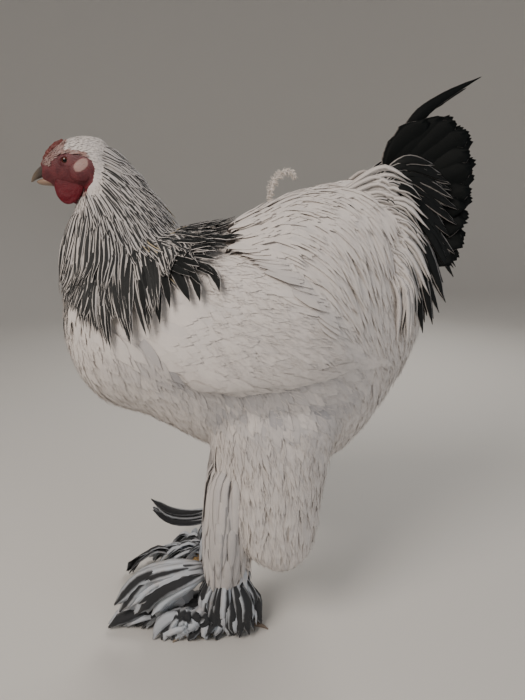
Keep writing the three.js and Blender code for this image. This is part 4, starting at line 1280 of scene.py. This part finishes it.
# %% Hanging saddle feathers and two that stand out
HANGERS = 80  # hanging saddle feathers on each side
hangers = []
for side in SIDES.values():
    for i in range(HANGERS):
        share = (i + chance.random()) / HANGERS
        x0, z0, y0 = 82 + 54 * share + 14 * chance.random(), 556 - 86 * share, 34 + 26 * share
        x1 = np.interp(share, [0, 0.25, 0.6, 1], [166, 190, 194, 172]) - 26 * chance.random()
        z1 = np.interp(share, [0, 0.25, 0.6, 1], [560, 500, 430, 372]) + 18 * chance.random()
        bend = 13 + 6 * chance.random()
        middle = (x0 * 0.5 + x1 * 0.5 + 7, side * (y0 + 13 - 6 * share), z0 * 0.5 + z1 * 0.5 + bend)
        tip = (x1, side * (y0 + 4 + 10 * chance.random() - 14 * share), z1)
        hangers.append(([(x0, side * y0, z0), middle, tip], (0.15, side, 0.3), 6 + 2.5 * chance.random()))
n = len(hangers)
fan(
    "saddle_hangers", hangers, 11, [(0, 0.3), (0.3, 0.9), (0.7, 0.85), (1, 0.06)], white_coat,
    ((chance.random(n) < 0.16) * 0.45, 0.5 * chance.random(n), 0.1, 0), across=3, cup=0.2, thick=0.3, rag=0.4,
)
standing = [([(104, -34, 556), (132, -44, 562), (158, -50, 558), (174, -52, 546)], (0.1, -1, 0.5), 13)]
fan(
    "standing_covert", standing, 16, [(0, 0.3), (0.3, 0.9), (0.65, 1), (0.9, 0.6), (1, 0.1)], laced_black,
    (0.66, 0.3, 0, 0), thick=0.4, rag=0.3,
)
curl = smooth_path(
    [(8, -3, 540), (9, -4, 556), (14, -5, 569), (23, -6, 577), (34, -7, 578), (38, -7, 571)], 34,
)
barbs = [(curl, (0, -1, 0.3), 3)]
for k in range(2, 33):
    along = unit(curl[k] - curl[k - 1])
    for side in (-1, 1):
        for _ in range(4):
            aside = unit(np.cross(along, [0, -1, 0.2]) * side + 0.9 * along + 0.5 * chance.normal(size=3))
            reach = (4 + 3.5 * math.sin(math.pi * k / 34)) * (0.5 + 0.6 * chance.random())
            path = [curl[k], curl[k] + aside * reach * 0.5, curl[k] + aside * reach + [0, 0, -1.2]]
            barbs.append((path, (0, -1, 0.3), 1.2))
fan(
    "curled_feather", barbs, 8, [(0, 0.8), (0.5, 1), (1, 0.3)], white_coat, (0, 0.2, 0, 0.1),
    across=3, cup=0.1, thick=0.3, rag=0.1,
)

# %% [markdown]
# ## Head feathers
# The crown, the cheeks behind the face and the throat carry very small white feathers. On the
# forehead and the brow they are thinner and pink.

# %% Small feathers of the head
def head_place(p):
    high = (p[:, 2] > 556) & (p[:, 0] < -186) | (p[:, 2] > 540) & (p[:, 0] < -205)
    return high & (depth_inside(p[:, [0, 2]], FACE_OUTLINE) < -0.5)


places, place_outs, place_faces = surface.scatter(24000, head_place)
chosen = spaced(places.tolist(), 1.35, range(len(places)))
roots, outs, spots = places[chosen], place_outs[chosen], surface.map[place_faces[chosen]]
n = len(roots)
fore = np.clip((-roots[:, 0] - 222) / 22, 0, 1) * (roots[:, 2] > 575)
brow = (depth_inside(roots[:, [0, 2]], FACE_OUTLINE) > -1 - 2.5 * chance.random(n)) & (roots[:, 0] < -203)
pink = (fore >= 0.35) | brow
lines, normals = lay(
    roots, outs, vary(n, 10, 1.0) - 4.5 * fore, vary(n, 2.4, 0.3) - 1.2 * fore, 4, vary(n, 0, 0.1),
    sink=0.5,
)
width = vary(n, 2.1, 0.25) - 0.8 * fore
for part, name, finish, tone in [
    (~pink, "head_coat", white_coat, 0.4), (pink, "forehead_bristles", pink_bristles, 0.1),
]:
    vanes(
        name, lines[part], normals[part], width[part], [(0, 0.4), (0.4, 1), (0.8, 0.8), (1, 0.15)],
        finish, (0, tone + 0.4 * chance.random(part.sum()), 0.15, 0), spots[part],
        across=3, cup=0.2, thick=0.2, rag=0.3, soft=0.7,
    )

# %% [markdown]
# ## Feathered shanks and feet
# A brahma is feathered down its shanks and out to the middle and outer toes. The feathers of the
# feet are mottled black, grey and white, and white sleeves hang round the legs above them.


# %% Shank feathers
def shank_flow(p):
    return unit(np.stack([0 * p[:, 0] + 0.05, 0.12 * np.sign(p[:, 1]), 0 * p[:, 0] - 1], 1))


roots, outs, spots = tract((Z < 120) & (Z > 38) & (Y > 30) & (X < -2), 4.6)
n = len(roots)
lines, normals = lay(
    roots, outs, vary(n, 42, 5), vary(n, 12, 3), 7, vary(n, 0, 0.2), flow=shank_flow, sink=1, power=0.7,
)
vanes(
    "shank_feathers", lines, normals, vary(n, 12, 1.4), [(0, 0.3), (0.3, 0.9), (0.7, 1), (1, 0.2)],
    foot_coat, ((chance.random(n) < 0.4) * 0.8, chance.random(n), 0.3 * chance.random(n), 0), spots,
    rag=1.4, soft=0.4,
)


# %% Loose sleeves of the legs
def sleeve_place(leg, turn, level, share=1.0):
    """A point of the loose sleeve round a leg, at a turn from straight ahead towards the outside."""
    shift = (leg["ankle"] - LEGS["left"]["ankle"]) * np.interp(level, [60, 200], [1, 0.25])
    x = np.interp(level, [60, 230, 270], [-49, -36, -20]) + shift
    y = np.interp(level, [14, 178], [leg["foot_y"], leg["hock_y"]])
    radius = np.interp(level, [50, 75, 100, 160, 235, 270], [22, 27, 31, 34, 33, 26]) * share
    outwards = np.interp(level, [60, 100, 160, 235], [0, 6, 14, 19])
    wide = 0.8 * radius + outwards * share * max(0, math.sin(turn))
    return np.array([x - radius * math.cos(turn), leg["side"] * (y + wide * math.sin(turn)), level])


SLEEVE_FEATHERS = 330  # round each leg
sleeves = []
for leg in LEGS.values():
    for k in range(SLEEVE_FEATHERS):
        turn = math.radians(-105 + 255 * chance.random())
        top = 262 - 140 * chance.random() ** 0.9
        low = max(56 + 16 * chance.random(), top - 78 - 26 * chance.random())
        share = 1.02 - 0.24 * chance.random()
        levels = np.linspace(top, low, 5)
        shares = share * np.array([0.66, 0.93, 1, 1, 1.02])
        path = [sleeve_place(leg, turn + 0.02 * i, levels[i], shares[i]) for i in range(5)]
        sleeves.append((path, (-math.cos(turn), leg["side"] * math.sin(turn), 0.1), 10 + 4 * chance.random()))
n = len(sleeves)
fan(
    "leg_sleeves", sleeves, 9, [(0, 0.4), (0.3, 0.95), (0.65, 1), (0.88, 0.6), (1, 0.1)], white_coat,
    ((chance.random(n) < 0.02) * 0.4, 0.6 * chance.random(n), 0.15 + 0.3 * chance.random(n), 0), across=5,
    cup=0.25, thick=0.25, rag=1.2,
)

# %% Toe and foot feathers
FURTHEST = 97  # no foot feather reaches further out than this from the middle of the bird
TOE_FEATHERS = {"left": 84, "right": 46}  # along the middle and outer toes
FORWARD_FEATHERS = {"left": 16, "right": 0}  # from the front of the shank
ANKLE_FEATHERS = 80  # round each ankle
fans, darks = [], []


def foot_feather(path, look, width, dark):
    path = np.array([np.array(p, float) for p in path])
    path[:, 1] = np.sign(path[:, 1]) * np.minimum(np.abs(path[:, 1]), FURTHEST - 3 * chance.random())
    fans.append((path, look, width))
    darks.append(dark)


def mottle():
    """Most of the foot's feathers are either pale or dark, and a few are half and half."""
    return chance.choice([0.03, 0.45, 0.96], p=[0.47, 0.16, 0.37])


for name, leg in LEGS.items():
    side = leg["side"]
    ankle = np.array([leg["ankle"], side * leg["foot_y"], 0.0])
    for k in range(TOE_FEATHERS[name]):
        toe = "middle" if k % 5 < 3 else "outer"
        turn, reach, _ = TOES[toe]
        base = math.radians(turn)
        along = np.array([-math.cos(base), side * math.sin(base), 0])
        start = ankle + along * reach * (0.05 + 0.85 * chance.random())
        start[2] = 9 + 4 * chance.random()
        lean = math.radians((-22 + 36 * chance.random()) if toe == "middle" else (10 + 65 * chance.random()))
        way = np.array([-math.cos(lean), side * math.sin(lean), 0])
        length = (96 if toe == "middle" else 56) * (0.55 + 0.5 * chance.random()) * (1 if side < 0 else 0.8)
        top = 12 + 18 * chance.random()
        middle = start + way * length * 0.45 + [0, 0, top]
        beyond = start + way * length * 0.85 + [0, 0, top * 0.45]
        end = start + way * length
        end[2] = 2.5 + 5 * chance.random()
        look = (0.2 * chance.normal(), side * (0.6 + 0.3 * chance.normal()), 1)
        foot_feather([start, middle, beyond, end], look, 15 + 6 * chance.random(), mottle())
    for k in range(FORWARD_FEATHERS[name]):
        share = chance.random()
        across = side * (leg["foot_y"] + 6 + 18 * chance.random())
        begin = (leg["ankle"] - 26 - 8 * chance.random(), side * leg["foot_y"], 70 + 22 * share)
        tip_x = leg["ankle"] - 84 - 64 * share - 8 * chance.random()
        droop = 30 + 30 * chance.random()
        path = [
            begin, (begin[0] * 0.66 + tip_x * 0.34, across, begin[2] + 3),
            (begin[0] * 0.28 + tip_x * 0.72, across, begin[2] - 14),
            (tip_x, across, max(8, begin[2] - droop)),
        ]
        look = (-0.15, side * (1 + 0.4 * chance.normal()), 0.5 + 0.4 * chance.random())
        foot_feather(path, look, 18 + 9 * chance.random(), mottle() if share < 0.7 else 0.5)
    for k in range(ANKLE_FEATHERS):
        turn = math.radians(-50 + 240 * chance.random())
        way = np.array([-math.cos(turn), side * math.sin(turn), 0])
        level = 46 + 44 * chance.random()
        behind = max(0, -math.cos(turn))
        start = sleeve_place(leg, turn, level, 0.55)
        end = sleeve_place(leg, turn, 50, 1.0) + way * (2 + 14 * chance.random() + 12 * behind)
        end[2] = 3 + 10 * chance.random()
        middle = (start + end) / 2 + way * (9 + 6 * chance.random()) + [0, 0, 4]
        dark = 0.96 if chance.random() < 0.15 + 0.6 * behind else mottle()
        look = way + [0.25 * chance.normal(), 0.25 * chance.normal(), 0.5]
        foot_feather([start, middle, end], look, 10 + 10 * chance.random(), dark)

# Ten longer feathers of the far foot reach forward and show beyond the near leg.
for k in range(10):
    across = 84 + 8 * chance.random()
    lift = 22 * chance.random()
    path = [
        (-78, across, 62 + lift), (-112, across, 54 + lift), (-146, across, 58 + lift),
        (-168 - 8 * chance.random(), across, 76 + lift),
    ]
    foot_feather(path, (0.2, -1, 0.6), 11, (0.5, 0.96, 0.5)[k % 3])
n = len(fans)
fan(
    "foot_feathers", fans, 10, [(0, 0.3), (0.25, 0.8), (0.65, 1), (0.88, 0.85), (1, 0.2)], foot_coat,
    (np.clip(darks, 0, 0.97), chance.random(n), 0.4 * chance.random(n) ** 1.5, 0), across=5, cup=0.4,
    thick=0.35, rag=2.0,
)

# %% [markdown]
# ## Fine down
# Loose barbs stand a little out of the coat of the body, wings and thighs and soften its edges. They
# are thin three-sided wisps, longest on the thighs.

# %% Wisps
# The wisps' grey is undercolour, with painted shade round the wing.
for name, mask, spacing, length, rise in [
    ("down_of_thighs", loose, 3.4, 24, 11.4),
    ("down_of_body", plain & (Z < hem(X) - 8) & (X > -255), 3.4, 17, 9.9),
    ("down_of_wings", (in_wing > 0) & (X > -60), 3.2, 17, 9.4),
]:
    roots, outs, spots = tract(mask, spacing)
    n = len(roots)
    lines, normals = lay(
        roots, outs, vary(n, length, 4), vary(n, rise, 1.1), 4, vary(n, 0, 0.35), sink=-4, power=0.9,
    )
    vanes(
        name, lines, normals, vary(n, 1.3, 0.3), [(0, 0.6), (0.4, 1), (1, 0.2)], white_coat,
        (0, 0.4 * chance.random(n), grey_and_painted_shade(roots) * 0.6, 0), spots, across=2, cup=0.1, thick=0.3,
        rag=0.5, soft=0.8,
    )

# %% [markdown]
# ## Comb, wattles, lobes, beak, eyes and claws

# %% Eyes
bare = []


def dress(piece, finish):
    """Shades a bare part smooth and gives it its finish."""
    select_only(piece)
    bpy.ops.object.shade_smooth()
    piece.data.materials.append(finish)
    bare.append(piece)


for name, side in SIDES.items():
    clear_selection()
    bpy.ops.mesh.primitive_uv_sphere_add(
        radius=(EYE_RADIUS - 0.15) / 1000, segments=48, ring_count=32, location=eye_place(side),
        rotation=(math.pi / 2, 0, 0),
    )
    eye = bpy.context.object
    eye.name = "eyeball_" + name
    bpy.ops.object.transform_apply()
    dress(eye, eye_finish(name))
    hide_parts("eye_" + name)


# %% Comb
def ball(centre, radii, turn=0.0):
    clear_selection()
    bpy.ops.mesh.primitive_uv_sphere_add(radius=1, segments=36, ring_count=24)
    piece = bpy.context.object
    piece.scale = tuple(np.array(radii) / 1000)
    piece.rotation_euler = (0, turn, 0)
    piece.location = tuple(in_frame(centre))
    bpy.ops.object.transform_apply()
    return piece


comb_path = smooth_path(
    [(-255, 0, 587), (-250, 0, 597), (-244, 0, 603.5), (-238, 0, 608), (-232, 0, 610)], 10,
)
lumps = []
for i, p in enumerate(comb_path):
    swell = math.sin(math.pi * (0.15 + 0.075 * i))
    lumps.append(ball(p + [0.8, 0, -1.6], (5.0, 4.0 + 4.6 * swell, 3.6)))
    lumps.append(ball(p + [-0.5, 0, 1.6], (2.8, 2.2, 2.6 + 0.4 * (i % 2)), math.radians(-30)))
    if i % 2 == 0 and i < 9:
        for side in SIDES.values():
            lumps.append(ball(p + [0.2, side * (3.4 + 2.4 * swell), -0.4], (3.0, 2.0, 2.6)))
comb = melted("pea_comb", lumps, 0.0006, 5)
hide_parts("comb")
dress(comb, comb_skin)

# %% Wattles and lobes
for name, side in SIDES.items():
    clear_selection()
    bpy.ops.mesh.primitive_uv_sphere_add(radius=1, segments=72, ring_count=48)
    wattle = bpy.context.object
    wattle.name = "wattle_skin_" + name
    u = mesh_points(wattle)
    hang = (1 - u[:, 2]) / 2
    shaped = np.stack([u[:, 0] * (19.5 - 5 * hang), u[:, 1] * (1.8 + 2.4 * hang), u[:, 2] * 19.5], 1)
    for i, p in enumerate(shaped.tolist()):
        shaped[i, 1] += noise.noise(Vector((p[0] * 0.10, 3.1 * side, p[2] * 0.16)))
        shaped[i, 1] += 0.35 * noise.noise(Vector((p[0] * 0.5, side, p[2] * 0.5)))
    shaped += np.stack([WATTLE_X - 1 - 2 * hang, side * (8.4 + 9.2 * hang), 561 + 0 * hang], 1)
    wattle.data.vertices.foreach_set("co", in_frame(shaped).ravel())
    dress(wattle, wattle_with_painted_shade)
    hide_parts("wattle_" + name)
    lobe = ball((LOBE_X, side * 17.6, 578.5), (15, 4.8, 12.5), math.radians(-20))
    lobe.name = "ear_lobe_" + name
    dress(lobe, red_skin)
    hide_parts("earlobe_" + name)

# %% Beak
upper_beak = Form("x", [
    [-273, 565.5, 569, 1.2], [-268, 568.5, 577, 3.6], [-261, 571.5, 583.5, 6.2], [-253, 573, 588, 8.2],
    [-244, 574, 590, 8.6],
], [3, 3])
lower_beak = Form("x", [
    [-266.5, 565.8, 568, 1.6], [-261, 563.5, 570, 4.4], [-253, 562.5, 571.8, 6.6], [-244, 562, 572, 7.4],
], [3, 3])
for form, name, finish in ((upper_beak, "upper", dark_horn), (lower_beak, "lower", pale_horn)):
    beak = drawn_out(f"{name}_bill", form, rings=30, around=36)
    dress(beak, finish)
    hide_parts("beak_" + name)

# %% [markdown]
# ## Put together
# Every piece rides with the bird, and the pieces of this lesson stand for the solids.

# %% Skin colours and replaced solids
for finish in (under_coat, red_skin, leg_scales):
    skin.data.materials.append(finish)
centres = np.empty(len(skin.data.polygons) * 3)
skin.data.polygons.foreach_get("center", centres)
centres = centres.reshape(-1, 3) * 1000 - MIDDLE_SHIFT
is_face = depth_inside(centres[:, [0, 2]], FACE_OUTLINE) > 0
is_face |= (centres[:, 0] < -232) & (centres[:, 2] > 570)
is_leg = (centres[:, 2] < 62) | (centres[:, 2] < 120) & (centres[:, 0] < -2)
kinds = np.where(is_face, 1, np.where(is_leg, 2, 0))
skin.data.polygons.foreach_set("material_index", kinds.astype(np.int32))
skin.data.polygons.foreach_set("use_smooth", np.ones(len(kinds), bool))
skin.data.update()
flesh = ["torso", "back", "neck", "head"]
for part in ("wing", "thigh", "shank", "foot"):
    flesh += [f"{part}_{name}" for name in SIDES]
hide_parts(*flesh)
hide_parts("tail")
for piece in [skin, *coat, *bare]:
    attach(piece, "root")
for node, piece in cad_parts.items():
    if node.startswith("claw"):
        piece.data.materials.clear()
        piece.data.materials.append(claw_horn)

# %% Measure and finish
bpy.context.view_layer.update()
total = sum(len(p.vertices) - 2 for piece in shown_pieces() for p in piece.data.polygons)
print("triangles in all:", total)
